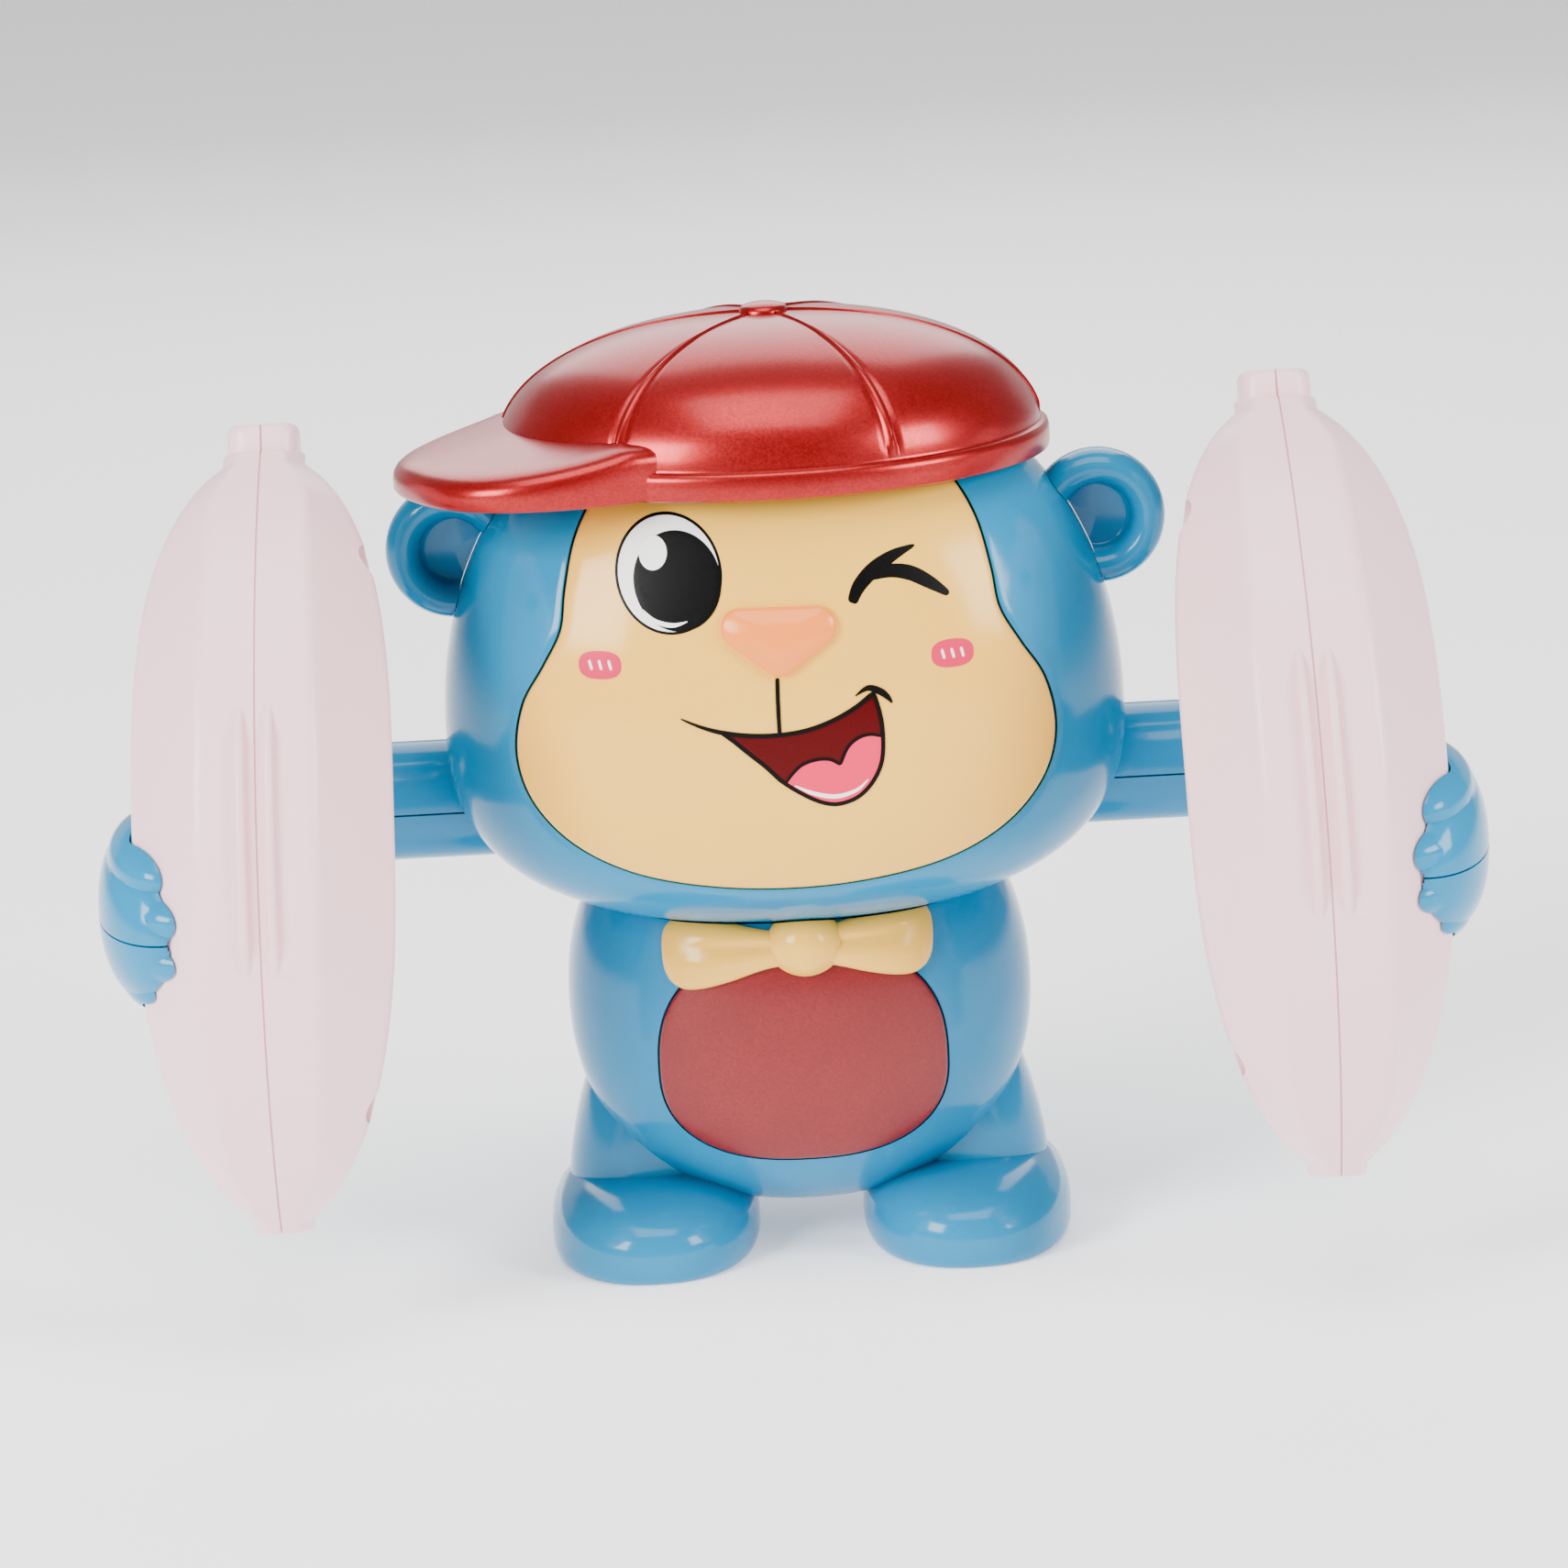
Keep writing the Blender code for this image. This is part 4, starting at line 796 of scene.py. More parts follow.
def bill_ring(scale, drop, from_top):
    """A ring of the bill: `drop` below its top face, or above the rim."""
    ring = []
    for a, b in oval(BILL_LONG * scale, BILL_WIDE * scale, 160, BILL_SQUARE):
        place = bill_root + heading * a + across * b
        share = min(max((a - 6.0) / (BILL_LONG - 6.0), 0.0), 1.0)
        top = BILL_ROOT_TOP + (BILL_TIP_TOP - BILL_ROOT_TOP) * share ** 0.8 - 0.9 * (b / BILL_WIDE) ** 2
        ring.append((place.x, place.y, CAP_RIM + (top - drop if from_top else drop)))
    return ring


bill_rings = [bill_ring(scale, drop, False)
              for scale, drop in ((0.0, 0.0), (0.95, 0.0), (0.985, 0.25), (1.0, 0.9))]
for scale, drop in ((1.0, 2.4), (0.995, 1.7), (0.98, 1.0), (0.955, 0.5), (0.92, 0.18), (0.88, 0.03),
                    (0.8, 0.0), (0.6, 0.0), (0.4, 0.0), (0.2, 0.0), (0.0, 0.0)):
    bill_rings.append(bill_ring(scale, drop, True))
bill = rolled("bill", bill_rings)
inside = rolled("inside", [cap_ring(0.0, CAP_RIM - 3.0, 0.0, 0.0), cap_ring(0.97, CAP_RIM - 3.0, 0.0, 0.0)]
                + [crown_ring(math.radians(88.0 * step / 14), -WALL / 2, 0.0) for step in range(15)]
                + [cap_ring(0.0, CAP_RIM + CAP_RISE - WALL / 2, 0.0, 0.0)])
boolean(bill, inside, "DIFFERENCE")
boolean(cap, bill, "UNION")
boolean(cap, egg("head", HEAD, GAP), "DIFFERENCE")
put(cap, "toy_body", "pearl_red", PEARL_RED, "cap")
print("cap:", len(cap.data.polygons), "faces")

# %% [markdown]
# ## Body, legs and feet
# The torso, the legs and the feet are one moulding in two halves. Each foot is a domed pad with a rolled
# edge under it; each leg is a bulge that leans in towards the hips. They are joined first, so that the
# creases between them are true meeting lines, then hollowed, cut under the head, and split in two.

# %% Body form
FOOT_SIDE, FOOT_FORWARD, FOOT_WIDTH, FOOT_DEPTH = 25.5, 5.5, 17.0, 28.0
LEG_SIDE, LEG_FORWARD, LEG_WIDTH, LEG_DEPTH, LEG_TOP = 26.0, 0.5, 13.0, 16.0, 36.0


def foot(side):
    """A domed foot: a quarter-round under edge, then a full shoulder that closes on top."""
    profile = [(0.0, 0.0), (0.0, 0.93)]
    for step in range(1, 6):
        turn = math.radians(90.0 * step / 5)
        profile.append((2.6 * (1 - math.cos(turn)), 0.93 + 0.07 * math.sin(turn)))
    for step in range(1, 17):
        rise = step / 16
        profile.append((2.6 + 11.4 * rise, max(1 - rise ** 3.0, 0.0) ** (1 / 2.6)))
    return rolled("foot", [[(side * FOOT_SIDE + a, FOOT_FORWARD + b, height)
                            for a, b in oval(FOOT_WIDTH * scale, FOOT_DEPTH * scale, 96, 2.3)]
                           for height, scale in profile])


def leg(side):
    """The bulge between torso and foot."""
    stations = curve_through([(5.0, 0.92), (14.0, 1.0), (25.0, 0.93), (32.0, 0.76), (LEG_TOP, 0.60)],
                             28, False)
    rings = []
    for height, scale in stations:
        ring = oval(LEG_WIDTH * scale, LEG_DEPTH * scale, 96, 2.3)
        lean = side * (LEG_SIDE - 0.15 * (height - 14.0))
        rings.append([(lean + a, LEG_FORWARD + b, height) for a, b in ring])
    return rolled("leg", rings)


form = egg("body", TORSO, 0.0, 128, 56)
for side in (-1, 1):
    boolean(form, leg(side), "UNION")
    boolean(form, foot(side), "UNION")
boolean(form, egg("head", HEAD, GAP), "DIFFERENCE")
boolean(form, egg("hollow", TORSO, -WALL, 64, 32), "DIFFERENCE")
print("body form:", len(form.data.polygons), "faces")

# %% [markdown]
# The belly sits in a rebate in the front half, with a dark hairline round it, and the battery bay, the
# switch slot and four screw wells open the rear half.

# %% Body halves
BELLY_MIDDLE, BELLY_WIDTH, BELLY_ABOVE, BELLY_BELOW, BELLY_TOP = 34.6, 23.0, 20.0, 16.3, 53.0
belly_points = [Vector((a, min(BELLY_MIDDLE + b * (BELLY_ABOVE if b > 0 else BELLY_BELOW), BELLY_TOP)))
                for a, b in oval(BELLY_WIDTH, 1.0, 480, 2.5)]
belly_outline = even(belly_points, 200)
COVER_HALF, COVER_LOW, COVER_HIGH, SWITCH_HEIGHT = 24.5, 17.0, 51.0, 56.8


def prism(name, outline, rear, front):
    """An outline of (side, height) points drawn along the forward direction."""
    return rolled(name, [[(p[0], forward, p[1]) for p in outline] for forward in (rear, front)])


def panel(low_side, high_side, low, high):
    return [(low_side, low), (high_side, low), (high_side, high), (low_side, high)]


front = bisected(form, "body_front_moulding", (0.0, BODY_SPLIT + GAP / 2, 0.0), (0.0, 1.0, 0.0))
recess = prism("recess", shifted(belly_outline, GAP), 5.0, 60.0)
boolean(recess, egg("floor", TORSO, -1.3, 96, 48), "DIFFERENCE")
boolean(front, recess, "DIFFERENCE")
put(front, "toy_body", "blue_shell", BLUE_ABS, "body_front_shell")

rear = bisected(form, "body_rear_moulding", (0.0, BODY_SPLIT - GAP / 2, 0.0), (0.0, -1.0, 0.0))
boolean(rear, prism("window", panel(-COVER_HALF, COVER_HALF, COVER_LOW, COVER_HIGH), -60.0, -5.0),
        "DIFFERENCE")
slot_sides = panel(-4.2, 4.2, SWITCH_HEIGHT - 1.8, SWITCH_HEIGHT + 1.8)
boolean(rear, prism("slot", slot_sides, -60.0, -18.0), "DIFFERENCE")
for place in ((-30.5, 53.0), (30.5, 53.0), (-31.0, 17.0), (31.0, 17.0)):
    boolean(rear, round_bar("well", "forward", -60.0, -8.0, SCREW_WELL, place, count=32), "DIFFERENCE")
put(rear, "toy_body", "blue_shell", BLUE_ABS, "body_rear_shell")
bpy.data.objects.remove(form)

belly = pad("belly_moulding", TORSO, belly_outline, (0.0, BELLY_MIDDLE), -0.9, 0.4, 0.45)
put(belly, "toy_body", "pearl_red", PEARL_BELLY, "belly_panel")
print("body halves:", len(front.data.polygons), len(rear.data.polygons), "faces")

# %% [markdown]
# ## The battery cover
# The cover continues the egg of the back. It has a fine ribbed grip at its lower edge, so a thumb can
# pull it once its screw is out, and a well for the screw.

# %% Battery cover
cover_outline = panel(-COVER_HALF + GAP, COVER_HALF - GAP, COVER_LOW + GAP, COVER_HIGH - GAP)
cover = egg("battery_cover_moulding", TORSO, 0.0, 128, 56)
boolean(cover, egg("hollow", TORSO, -WALL, 96, 40), "DIFFERENCE")
boolean(cover, prism("window", cover_outline, -60.0, -5.0), "INTERSECT")
for rib in range(5):
    groove = round_bar("groove", "side", -7.0, 7.0, 0.45, (-29.55 + 0.15 * rib, 21.5 + 1.6 * rib), 0.3, 16)
    boolean(cover, groove, "DIFFERENCE")
boss = round_bar("boss", "forward", -29.2, -23.6, 3.9, (0.0, 45.6), count=48)
boolean(boss, egg("face", TORSO, -0.05, 96, 48), "INTERSECT")
boolean(cover, boss, "UNION")
boolean(cover, round_bar("well", "forward", -60.0, -25.6, 2.9, (0.0, 45.6), count=32), "DIFFERENCE")
boolean(cover, round_bar("hole", "forward", -40.0, -10.0, 1.55, (0.0, 45.6), count=24), "DIFFERENCE")
put(cover, "cover", "blue_shell", BLUE_ABS, "battery_cover")
print("battery cover:", len(cover.data.polygons), "faces")

# %% [markdown]
# ## The bow tie
# The bow is moulded to look like stuffed cloth: two puffed lobes with a fold that runs out from the knot,
# and a round knot with a soft crease on each side. Each lobe is a row of upright ovals that follow the
# chest; the fold is pressed into the ovals' front.

# %% Bow tie
BOW_HEIGHT, KNOT_SIDE, KNOT_HEIGHT = 54.6, 1.2, 54.9
BOW_STATIONS = [(-21.6, 1.2, 0.9), (-21.3, 3.0, 1.5), (-20.3, 4.6, 2.0), (-18.3, 5.6, 2.5), (-15.2, 5.5, 2.7),
                (-11.0, 4.6, 2.5), (-7.0, 3.5, 2.1), (-4.0, 2.9, 1.8), (0.0, 2.7, 1.6)]


def bow_ring(side, half, puff):
    """An upright oval across the bow, standing off the chest."""
    middle = BOW_HEIGHT + 0.02 * side - 0.35 * (half - 2.7) * 0.3
    ring = []
    fold = 1.1 * min(max((abs(side) - 3.0) / 3.0, 0.0), 1.0) * max(1.0 - abs(side) / 19.0, 0.0) ** 0.5
    for a, b in oval(puff, half, 48, 2.3):
        height = middle + b
        chest = face_of(TORSO, side, min(height, 66.0), 0.4)[1]
        press = fold * math.exp(-((b - 0.22 * half) / 0.75) ** 2) if a > 0 else 0.0
        ring.append((side, chest + a - press, height))
    return ring


stations = curve_through([Vector(row) for row in BOW_STATIONS], 56, False)
stations += [Vector((-row.x, row.y, row.z)) for row in reversed(stations[:-1])]
bow = rolled("bow_tie_moulding", [bow_ring(*row) for row in stations])
knot_rings = []
for step in range(33):
    tilt = math.pi * (step / 32 - 0.5)
    ring = []
    for a, b in oval(1.0, 1.0, 64, 2.2):
        lobed = 1.0 + 0.025 * math.cos(4.0 * math.atan2(b, a))
        ring.append((KNOT_SIDE + 6.1 * a * math.cos(tilt) * lobed, 30.6 + 5.4 * b * math.cos(tilt) * lobed,
                     KNOT_HEIGHT + 5.5 * math.sin(tilt)))
    knot_rings.append(ring)
boolean(bow, rolled("knot", knot_rings), "UNION")
boolean(bow, egg("chest", TORSO, 0.75, 128, 56), "DIFFERENCE")
boolean(bow, egg("head", HEAD, GAP), "DIFFERENCE")
put(bow, "toy_body", "cream_trim", CREAM_ABS, "bow_tie")
print("bow tie:", len(bow.data.polygons), "faces")

# %% [markdown]
# ## The bananas
# Each banana is two blow-thin shells with a seam down its spine. Its section is a soft polygon: a flat
# band along the outside of the curve, broad flanks, and a narrower inside. The width and the curve follow
# rules along its length. The ridges are real radii, worked into the section as arcs, so that each one
# catches a thin line of light. The whole banana leans back with the arms, tips slightly in, and ends in
# a squared stalk.

# %% Banana section
BANANA_SIDE, BANANA_TILT, BANANA_LEAN = 80.5, math.radians(13.8), math.radians(1.5)
BANANA_BACK, BANANA_RISE = 48.3, 5.6
BANANA_HALF, BANANA_APEX, BANANA_ARC, BANANA_WIDTH = 60.0, 31.2, 76.6, 20.2
STALK = 5.0


def banana_place(side, a, b, along):
    """From the banana's own frame (across, out from its back, along) to the toy's."""
    side_place = side * BANANA_SIDE + a - side * math.sin(BANANA_LEAN) * along
    forward = BANANA_BACK + b * math.cos(BANANA_TILT) - along * math.sin(BANANA_TILT)
    height = AXLE_HEIGHT + BANANA_RISE + b * math.sin(BANANA_TILT) + along * math.cos(BANANA_TILT)
    return side_place, forward, height


def banana_width(along):
    """Half the width; the top end is blunter than the lower one."""
    ratio = min(abs(along) / (BANANA_HALF + 0.6), 1.0)
    if along > 0:
        return max(BANANA_WIDTH * (1 - ratio ** 3.4) ** 0.52, 6.5)
    return max(BANANA_WIDTH * (1 - ratio ** 2.6) ** 0.58, 4.7)


def banana_faces(along):
    """How far the outside and the inside of the curve stand out from the banana's back."""
    held = max(-BANANA_HALF, min(BANANA_HALF, along))
    return (BANANA_APEX - BANANA_ARC + math.sqrt(BANANA_ARC ** 2 - held ** 2),
            -0.8 - 13.0 * (held / BANANA_HALF) ** 2)


def softened(corners, radius, count=5):
    """A polygon's outline with each corner turned into a short arc of points."""
    made = []
    for index, corner in enumerate(corners):
        here = Vector(corner)
        before = Vector(corners[index - 1]) - here
        after = Vector(corners[(index + 1) % len(corners)]) - here
        cut_back = min(radius, before.length * 0.45, after.length * 0.45)
        first, last = here + before.normalized() * cut_back, here + after.normalized() * cut_back
        for step in range(count):
            share = step / (count - 1)
            made.append(first.lerp(here, share).lerp(here.lerp(last, share), share))
    return made


def banana_section(along, grow=0.0):
    """The soft polygon at a place along the banana."""
    front, back = banana_faces(along)
    deep, wide = front - back, banana_width(along)
    band = min(9.2 * (0.76 + 0.24 * math.cos(math.pi * along / 120.0)), wide * 0.62)
    half = [(band + grow * 0.6, front + grow), (wide + grow, front - deep * 0.43),
            (wide * 0.94 + grow, front - deep * 0.72), (wide * 0.68 + grow * 0.6, back - grow)]
    return softened(half + [(-a, b) for a, b in reversed(half)], 1.5)


def banana_stations(grow=0.0):
    """Places along the banana, crowded towards its ends, with a softly rounded shoulder at each end."""
    made = []
    for step in range(73):
        along = (BANANA_HALF + grow) * math.sin(math.pi * (step / 72 - 0.5))
        made.append((along, 1.0))
    for sign, rows in ((-1, made), (1, made)):
        for shrink, share in ((0.3, 0.98), (0.5, 0.94), (0.62, 0.85)):
            rows.append((sign * (BANANA_HALF + grow + shrink), share))
    return sorted(made)


def banana_form(name, side, grow=0.0):
    """The whole banana as one closed body."""
    rings = []
    for along, share in banana_stations(grow):
        held = max(-BANANA_HALF, min(BANANA_HALF, along * BANANA_HALF / (BANANA_HALF + grow)))
        points = banana_section(held, grow)
        middle = Vector((0.0, sum(banana_faces(held)) / 2))
        rings.append([banana_place(side, *(middle + (point - middle) * share), along) for point in points])
    return rolled(name, rings)


def banana_bar(name, side, along, start, end, radius, count=40):
    """A round bar square to the seam, in the middle of the banana's thickness."""
    middle = sum(banana_faces(along)) / 2
    return rolled(name, [[banana_place(side, place, middle + b, along + a)
                          for a, b in oval(radius, radius, count)] for place in (start, end)])


print("banana:", round(banana_width(0.0) * 2, 1), "mm wide")

# %% [markdown]
# The two fins beside the seam are raised by a gentle hump along the band. On the side that faces the
# head, two deep round wells take the screws.

# %% Bananas
def fin(side, middle):
    """One thin fin along the outside of the curve, with a round top."""
    rings = []
    for step in range(33):
        share = step / 32
        along = -21.8 + 43.7 * share
        rise = -0.6 + 2.1 * min(1.0, math.sin(math.pi * share) * 2.2) ** 0.7
        level = banana_faces(along)[0]
        ring = []
        for a, b in ((-0.7, -1.3), (0.7, -1.3), (0.66, rise - 0.4), (0.45, rise - 0.12), (0.2, rise),
                     (-0.2, rise), (-0.45, rise - 0.12), (-0.66, rise - 0.4)):
            ring.append(banana_place(side, middle + a, level + b, along))
        rings.append(ring)
    return rolled("fin", rings)


def stalk(side, grow=0.0):
    """The squared stub at the top, its edges rolled."""
    rings = []
    end = BANANA_HALF + STALK + grow
    for along, size in ((BANANA_HALF - 6.0, 1.0), (end - 1.6, 1.0), (end - 0.9, 0.98), (end - 0.35, 0.92),
                        (end, 0.80)):
        outline = oval(5.6 * size + grow, 6.0 * size + grow, 64, 3.5)
        rings.append([banana_place(side, a, b - 5.5, along) for a, b in outline])
    return rolled("stalk", rings)


def lip(side, sign, normal):
    """The tongue inside the seam, which closes the gap just below the surface."""
    core = banana_form("core", side, -LIP_DEPTH)
    boolean(core, stalk(side, -LIP_DEPTH), "UNION")
    first = bisected(core, "first", banana_place(side, -sign * (GAP / 2 + 0.2), 0.0, 0.0), -normal * sign)
    made = bisected(first, "lip", banana_place(side, sign * (GAP / 2 - 0.03), 0.0, 0.0), normal * sign)
    bpy.data.objects.remove(core)
    bpy.data.objects.remove(first)
    return made


LIP_DEPTH = 0.35


for side, word in ((1, "left"), (-1, "right")):
    whole = banana_form("banana", side)
    boolean(whole, stalk(side), "UNION")
    for middle in (-2.2, 2.2):
        boolean(whole, fin(side, middle), "UNION")
    for along in (-41.0, 42.0):
        boolean(whole, banana_bar("well", side, along, -side * 5.0, -side * 40.0, 3.0), "DIFFERENCE")
    lean = Vector((1.0, 0.0, side * math.tan(BANANA_LEAN))).normalized()
    for sign, half_word in ((side, "inner"), (-side, "outer")):
        at = banana_place(side, -sign * GAP / 2, 0.0, 0.0)
        half = bisected(whole, f"{word}_banana_{half_word}_moulding", at, lean * sign)
        if half_word == "outer":
            boolean(half, lip(side, sign, lean), "UNION")
        put(half, "arms", "pink_shell", PINK_ABS, f"{word}_banana_{half_word}_shell")
    bpy.data.objects.remove(whole)
print("two bananas in four shells")

# %% [markdown]
# ## The arms
# An arm is a round tube along the axle with a round elbow, and a forearm that runs forwards behind the
# banana. Its cupped hand lies on the banana's outer side with two fingers in the upper shell and two in
# the lower one. Each finger is a flattened lobe: the finger tips are scalloped, the palm gives the hand
# its smooth outer side, and a slot runs in along the split between the finger tips.

# %% Arm form
ARM_START, ARM_TILT, ELBOW_SIDE, ELBOW_BEND, FOREARM_END = 47.5, math.radians(-2.5), 87.0, 12.0, 43.0


def arm_place(side, forward, height):
    """A place in the arm's own frame, turned about the axle to its rest tilt."""
    return (side, forward * math.cos(ARM_TILT) - height * math.sin(ARM_TILT),
            AXLE_HEIGHT + forward * math.sin(ARM_TILT) + height * math.cos(ARM_TILT))


def arm_tube(side):
    """Upper arm, elbow and forearm as one bent tube with a rolled edge at the shoulder."""
    rows = [(ARM_START, 0.0, 0.0, 0.6), (ARM_START + 0.2, 0.0, 0.0, 0.2), (ARM_START + 0.6, 0.0, 0.0, 0.0)]
    rows += [(ELBOW_SIDE - ELBOW_BEND + ELBOW_BEND * math.sin(turn), ELBOW_BEND - ELBOW_BEND * math.cos(turn),
              turn, 0.0) for turn in [math.radians(90.0 * step / 16) for step in range(17)]]
    rows.append((ELBOW_SIDE, FOREARM_END, math.radians(90.0), 0.0))
    rings = []
    for across, forward, turn, less in rows:
        rings.append([arm_place(side * (across - math.sin(turn) * a), forward + math.cos(turn) * a, b)
                      for a, b in oval(ARM_RADIUS - less, ARM_RADIUS - less, 72)])
    return rolled("arm", rings)


def lobe(side, middle, size, tip=0.0):
    """A flattened ellipsoid in the arm's frame; `tip` tapers it towards the front."""
    rings = []
    for step in range(41):
        tilt = math.pi * (step / 40 - 0.5)
        ring = []
        for a, b in oval(1.0, 1.0, 72, 2.3):
            ahead = math.sin(tilt)
            shrink = math.cos(tilt) * (1.0 - tip * ahead)
            ring.append(arm_place(side * (middle[0] + size[0] * a * shrink), middle[1] + size[1] * ahead,
                                  middle[2] + size[2] * b * shrink))
        rings.append(ring)
    return rolled("lobe", rings)


FINGERS = [((92.6, 58.0, 3.2), (12.4, 18.6, 6.6)), ((95.6, 55.0, 9.0), (9.6, 18.0, 6.6)),
           ((92.6, 58.0, -3.4), (12.2, 18.6, 6.0)), ((95.4, 55.0, -8.8), (9.2, 17.6, 5.8))]
PALM = ((96.0, 53.0, 0.0), (11.4, 22.6, 15.4))

for side, word in ((1, "left"), (-1, "right")):
    whole = arm_tube(side)
    boolean(whole, lobe(side, *PALM), "UNION")
    for middle, size in FINGERS:
        boolean(whole, lobe(side, middle, size), "UNION")
    boolean(whole, banana_form("room", side, GAP + 0.1), "DIFFERENCE")
    waste = rolled("waste", [[(side * near, forward, height) for near, height in
                              ((30.0, 30.0), (92.0, 30.0), (92.0, 130.0), (30.0, 130.0))]
                             for forward in (49.0, 95.0)])
    boolean(whole, waste, "DIFFERENCE")
    slot = rolled("slot", [[arm_place(side * near, forward, height) for near, height in
                            ((85.0, -0.75), (95.2, -0.75), (95.2, 0.75), (85.0, 0.75))]
                           for forward in (60.0, 95.0)])
    boolean(whole, slot, "DIFFERENCE")
    well = rolled("well", [[arm_place(side * 70.0 + a, b, height) for a, b in oval(2.9, 2.9, 32)]
                           for height in (-20.0, -5.0)])
    boolean(whole, well, "DIFFERENCE")
    bore = round_bar("bore", "side", side * 40.0, side * 60.5, 2.3, (0.0, AXLE_HEIGHT), count=32)
    boolean(whole, bore, "DIFFERENCE")
    level = Vector((0.0, math.sin(ARM_TILT), math.cos(ARM_TILT)))
    for sign, half_word in ((-1, "upper"), (1, "lower")):
        at = arm_place(0.0, 0.0, -sign * GAP / 2)
        half = bisected(whole, f"{word}_arm_{half_word}_moulding", at, level * sign)
        put(half, "arms", "blue_shell", BLUE_ABS, f"{word}_arm_{half_word}_shell")
    bpy.data.objects.remove(whole)
print("two arms in four shells")

# %% [markdown]
# ## The printed face
# The features are pad-printed in glossy inks, one colour after another, so each colour is a thin film
# that lies on the plate and on the colour below it. A film is drawn as a closed patch that follows the
# plate's curve: 0.05 mm is about what three passes of ink build up. A line is a ribbon that swells and
# tapers like a brush stroke.

# %% Print helpers
INK_BASE, INK_STEP = 0.5, 0.05


def film(name, outline, middle, layer, finish):
    """A patch of ink inside an outline, on its own layer."""
    high = INK_BASE + INK_STEP * layer
    piece = pad(name, HEAD, even([Vector(p) for p in outline], 120), middle, INK_BASE - 0.1, high, 0.02, 6)
    return put(piece, "toy_body", "cream_trim", finish)


def stroke(name, points, layer, finish, count=60):
    """A brush line through (side, height, half width) points, round at its ends."""
    rows = curve_through([Vector(p) for p in points], count, False)
    high = INK_BASE + INK_STEP * layer
    rings = []
    for index, row in enumerate(rows):
        along = (rows[min(index + 1, count - 1)] - rows[max(index - 1, 0)])
        along.z = 0.0
        along.normalize()
        half = row.z
        for end in (index, count - 1 - index):
            if end < 4:
                half *= math.sqrt(1 - (1 - (end + 0.5) / 4.5) ** 2)
        left = (row.x - along.y * half, row.y + along.x * half)
        right = (row.x + along.y * half, row.y - along.x * half)
        rings.append([face_of(HEAD, *left, INK_BASE - 0.1), face_of(HEAD, *left, high),
                      face_of(HEAD, row.x, row.y, high), face_of(HEAD, *right, high),
                      face_of(HEAD, *right, INK_BASE - 0.1)])
    return put(rolled(name, rings), "toy_body", "cream_trim", finish)


def ellipse(middle, wide, tall, lean=0.0, square=2.0):
    """An upright oval that leans by an angle."""
    cosine, sine = math.cos(lean), math.sin(lean)
    return [(middle[0] + a * cosine - b * sine, middle[1] + a * sine + b * cosine)
            for a, b in oval(wide, tall, 240, square)]


# %% [markdown]
# The open eye is a tall oval: a black rim, the white of the eye, a pupil that nearly fills it and looks
# to one side, and a round highlight with a sliver of reflected light below. The other eye winks in two
# strokes that meet at its outer corner.

# %% Eyes
EYE, EYE_WIDE, EYE_TALL, EYE_LEAN = (-16.75, 118.75), 8.25, 9.0, math.radians(4.0)
film("eye_rim_print", ellipse(EYE, EYE_WIDE, EYE_TALL, EYE_LEAN), EYE, 1, BLACK_INK)
film("eye_white_print", ellipse(EYE, EYE_WIDE - 0.45, EYE_TALL - 0.45, EYE_LEAN), EYE, 2, WHITE_INK)
PUPIL = (-15.45, 117.65)
film("pupil_print", ellipse(PUPIL, 6.75, 7.45, math.radians(6.0)), PUPIL, 3, BLACK_INK)
HIGHLIGHT = (-19.0, 121.9)
film("highlight_print", ellipse(HIGHLIGHT, 2.15, 2.55, math.radians(-12.0)), HIGHLIGHT, 4, WHITE_INK)
stroke("glint_print", [(-21.0, 113.6, 0.06), (-19.2, 111.9, 0.30), (-16.6, 111.2, 0.34),
                       (-14.2, 111.7, 0.06)], 4, WHITE_INK)
stroke("wink_upper_print", [(11.2, 113.2, 0.75), (12.4, 115.6, 1.05), (14.8, 117.9, 1.15),
                            (17.9, 119.7, 0.85), (21.3, 120.9, 0.22)], 1, BLACK_INK)
stroke("wink_lower_print", [(14.2, 117.2, 0.9), (17.4, 117.5, 1.0), (20.4, 116.9, 1.1), (23.4, 115.2, 0.95),
                            (26.2, 113.2, 0.45)], 1, BLACK_INK)
print("eyes printed")

# %% [markdown]
# The mouth is a laughing one: a line down from the nose, a smile line that runs from one cheek to a tick
# at the other, a deep red mouth below it, and a pink tongue with a heart-shaped top and a light line.

# %% Mouth and cheeks
stroke("nose_line_print", [(-0.9, 102.6, 0.32), (-1.0, 98.5, 0.34), (-1.0, 94.0, 0.32)], 3, BLACK_INK)
SMILE = [(-16.1, 96.9), (-13.2, 95.6), (-10.0, 94.6), (-5.6, 93.9), (-1.0, 93.8), (3.2, 94.3), (7.1, 95.5),
         (10.8, 97.3), (13.8, 99.4)]
LOWER = [(14.6, 96.2), (14.9, 93.0), (14.6, 89.0), (13.3, 86.0), (11.2, 83.7), (8.9, 82.6), (6.4, 82.4),
         (3.4, 83.5), (-0.7, 86.2), (-3.4, 88.9), (-6.0, 91.2), (-8.2, 93.2)]
lower = curve_through([Vector(p) for p in [SMILE[-1]] + LOWER + [SMILE[2]]], 120, False)
upper = curve_through([Vector(p) for p in SMILE[2:]], 80, False)
mouth = (lower[:-1] + upper[:-1])[::-1]
film("mouth_print", mouth, (5.0, 90.5), 1, MOUTH_INK)
TONGUE_TOP = [(14.6, 92.6), (12.8, 93.0), (10.9, 92.5), (9.3, 91.1), (8.1, 88.6), (6.6, 89.5), (4.5, 89.6),
              (2.2, 88.9), (0.6, 87.5), (-0.5, 86.1)]
tongue = curve_through([Vector(p) for p in TONGUE_TOP], 60, False)
tongue += [Vector(p) for p in LOWER[7:1:-1]]
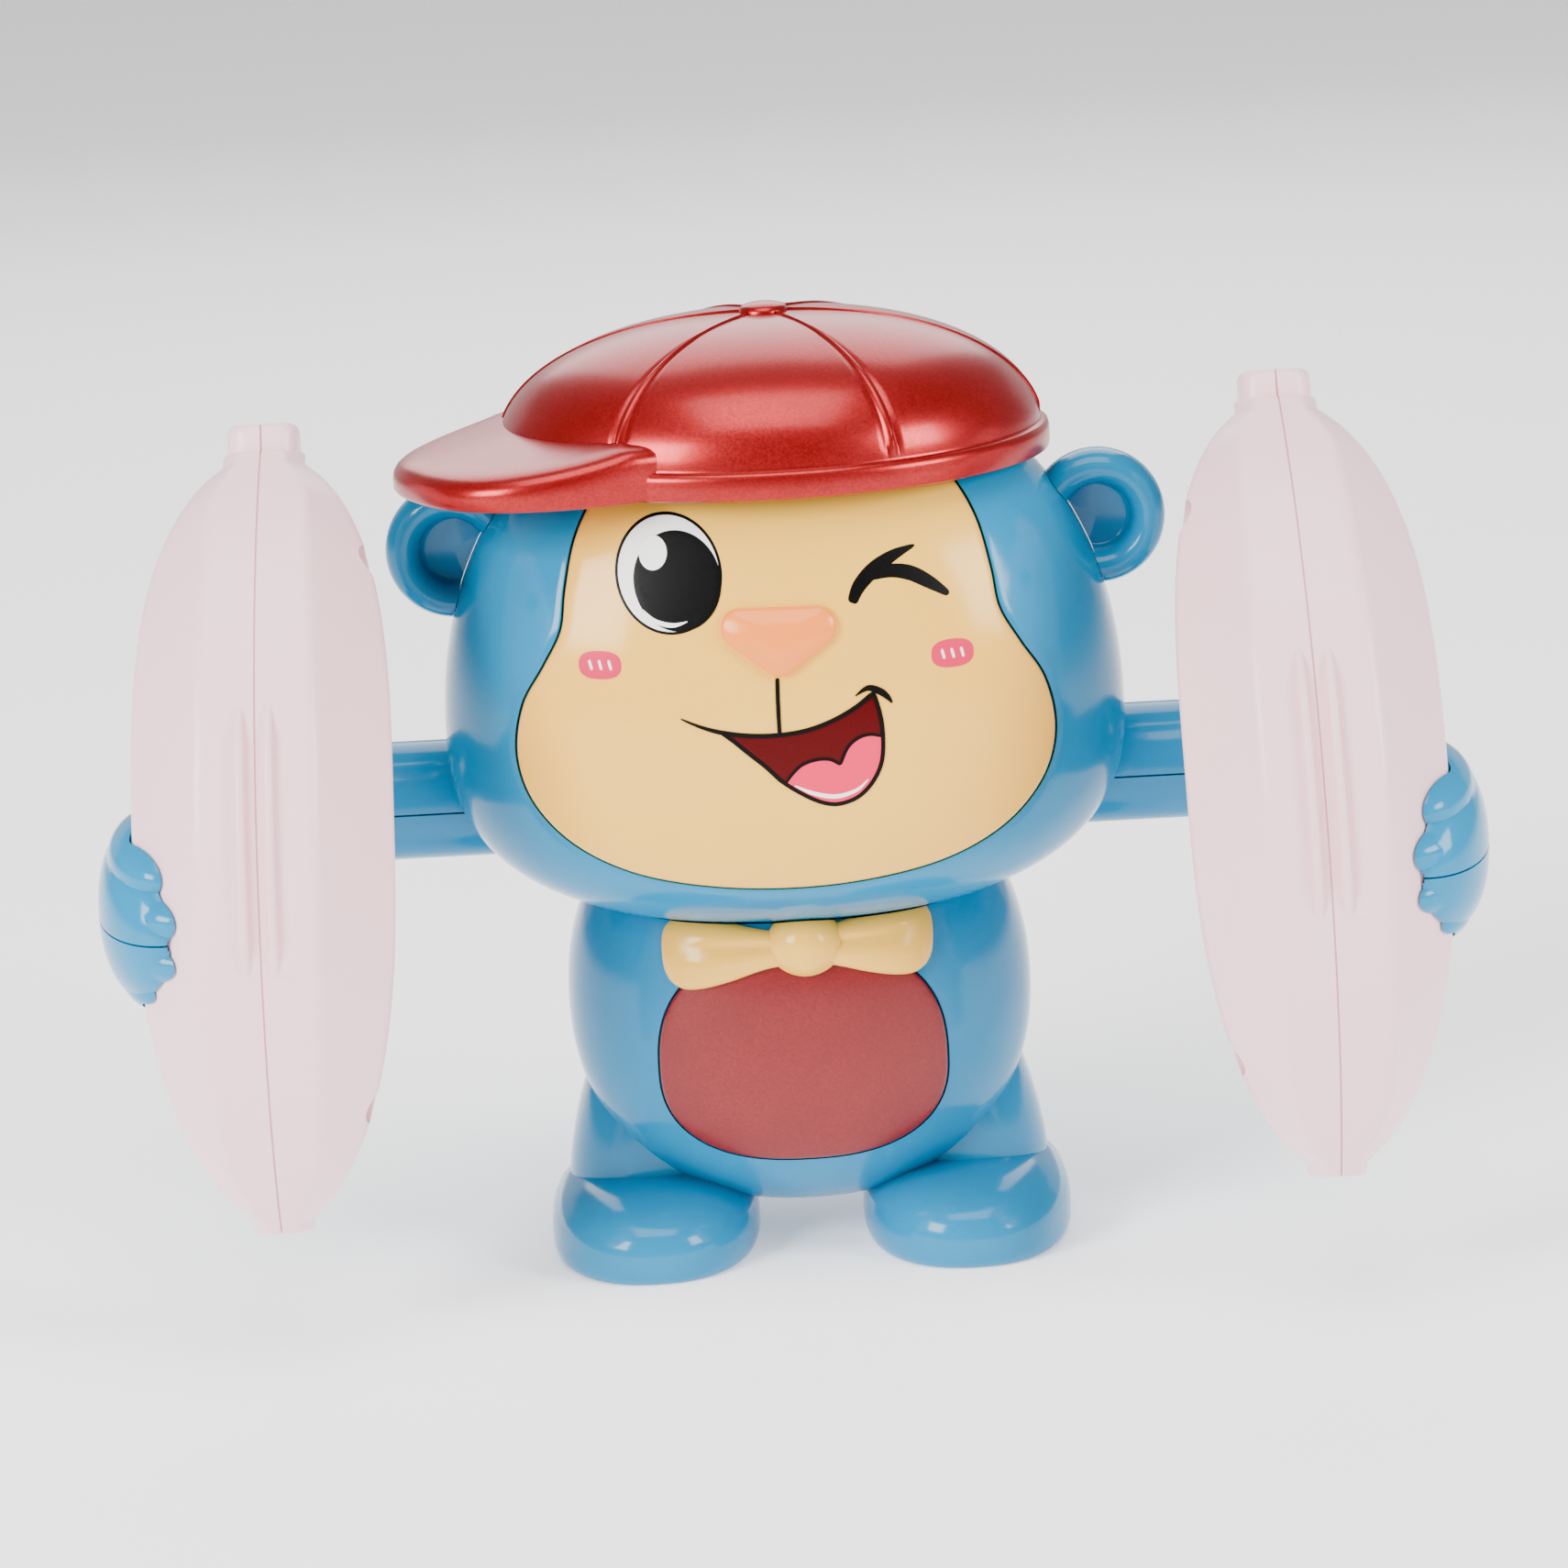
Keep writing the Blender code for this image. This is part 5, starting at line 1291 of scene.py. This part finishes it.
film("tongue_print", tongue, (7.6, 85.8), 2, TONGUE_INK)
stroke("tongue_light_print", [(0.9, 85.7, 0.1), (3.8, 84.3, 0.3), (7.2, 83.6, 0.34), (10.4, 84.4, 0.25),
                              (12.3, 86.0, 0.08)], 3, WHITE_INK)
stroke("tongue_edge_print", [(14.7, 92.6, 0.2), (12.8, 93.0, 0.22), (10.9, 92.5, 0.24), (9.3, 91.1, 0.24),
                             (8.1, 88.6, 0.24)], 3, BLACK_INK, 40)
stroke("tongue_side_print", [(8.1, 88.6, 0.24), (6.6, 89.5, 0.24), (4.5, 89.6, 0.24), (2.2, 88.9, 0.24),
                             (0.6, 87.5, 0.22), (-0.5, 86.1, 0.2)], 3, BLACK_INK, 40)
smile_widths = (0.12, 0.26, 0.36, 0.36, 0.34, 0.34, 0.34, 0.36, 0.42)
stroke("smile_print", [(*p, half) for p, half in zip(SMILE, smile_widths)], 3, BLACK_INK, 90)
stroke("mouth_edge_print", [(*p, 0.33) for p in [SMILE[-1]] + LOWER + [SMILE[2]]], 3, BLACK_INK, 110)
stroke("smile_tick_print", [(10.9, 99.1, 0.08), (12.9, 100.2, 0.42), (14.7, 99.6, 0.55), (15.9, 98.6, 0.42),
                            (16.6, 97.6, 0.12)], 3, BLACK_INK, 40)
for index, (side, height) in enumerate(((-28.1, 105.2), (26.3, 104.3)), 1):
    film(f"cheek_print_{index}", ellipse((side, height), 3.3, 2.15, 0.0, 2.6), (side, height), 1, CHEEK_INK)
    for dash in (-1, 0, 1):
        top, low = (side + 1.5 * dash - 0.15, height + 0.75), (side + 1.5 * dash + 0.2, height - 0.75)
        stroke(f"cheek_dash_print_{index}_{dash + 2}", [(*top, 0.22), (*low, 0.22)], 2, WHITE_INK, 14)
print("mouth and cheeks printed")

# %% [markdown]
# ## Working parts
# The parts inside keep the shapes of the working model, because those are their real shapes. Each takes
# the finish of what it is made of: acetal gears, a brass pinion and bushes, plated steel, printed cells.

# %% Finishes for the parts that stay
STAYING = {"nylon_gears": ACETAL, "brass_parts": BRASS, "steel_hardware": NICKEL, "motor_steel": NICKEL,
           "contact_plate": NICKEL, "cell_sleeve": SLEEVE, "grey_tray": GREY_ABS,
           "circuit_laminate": LAMINATE, "speaker_black": BLACK_ABS, "switch_knob": BLACK_ABS,
           "blue_shell": BLUE_ABS, "pink_shell": PINK_ABS, "cream_trim": CREAM_ABS,
           "pearl_red": PEARL_RED, "peach_nose": PEACH_ABS}
for row in frame["record"]["subparts"]:
    node = frame["nodes"].get(row["node"])
    if node:
        node.data.materials.clear()
        node.data.materials.append(STAYING[row["material_slot"]])
shown = [name for name, node in frame["nodes"].items() if not node.hide_render]
print(len(shown), "working parts stay:", ", ".join(sorted(shown)))

# %% [markdown]
# ## Measure and finish
# Both boxes are printed side by side: the working model's and the finished model's.

# %% Sizes
VISUAL_BOX = [list(corner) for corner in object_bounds()]
for title, box in (("working model", CAD_BOX), ("finished model", VISUAL_BOX)):
    print(title, [round((high - low) / MM, 1) for low, high in zip(*box)], "mm")
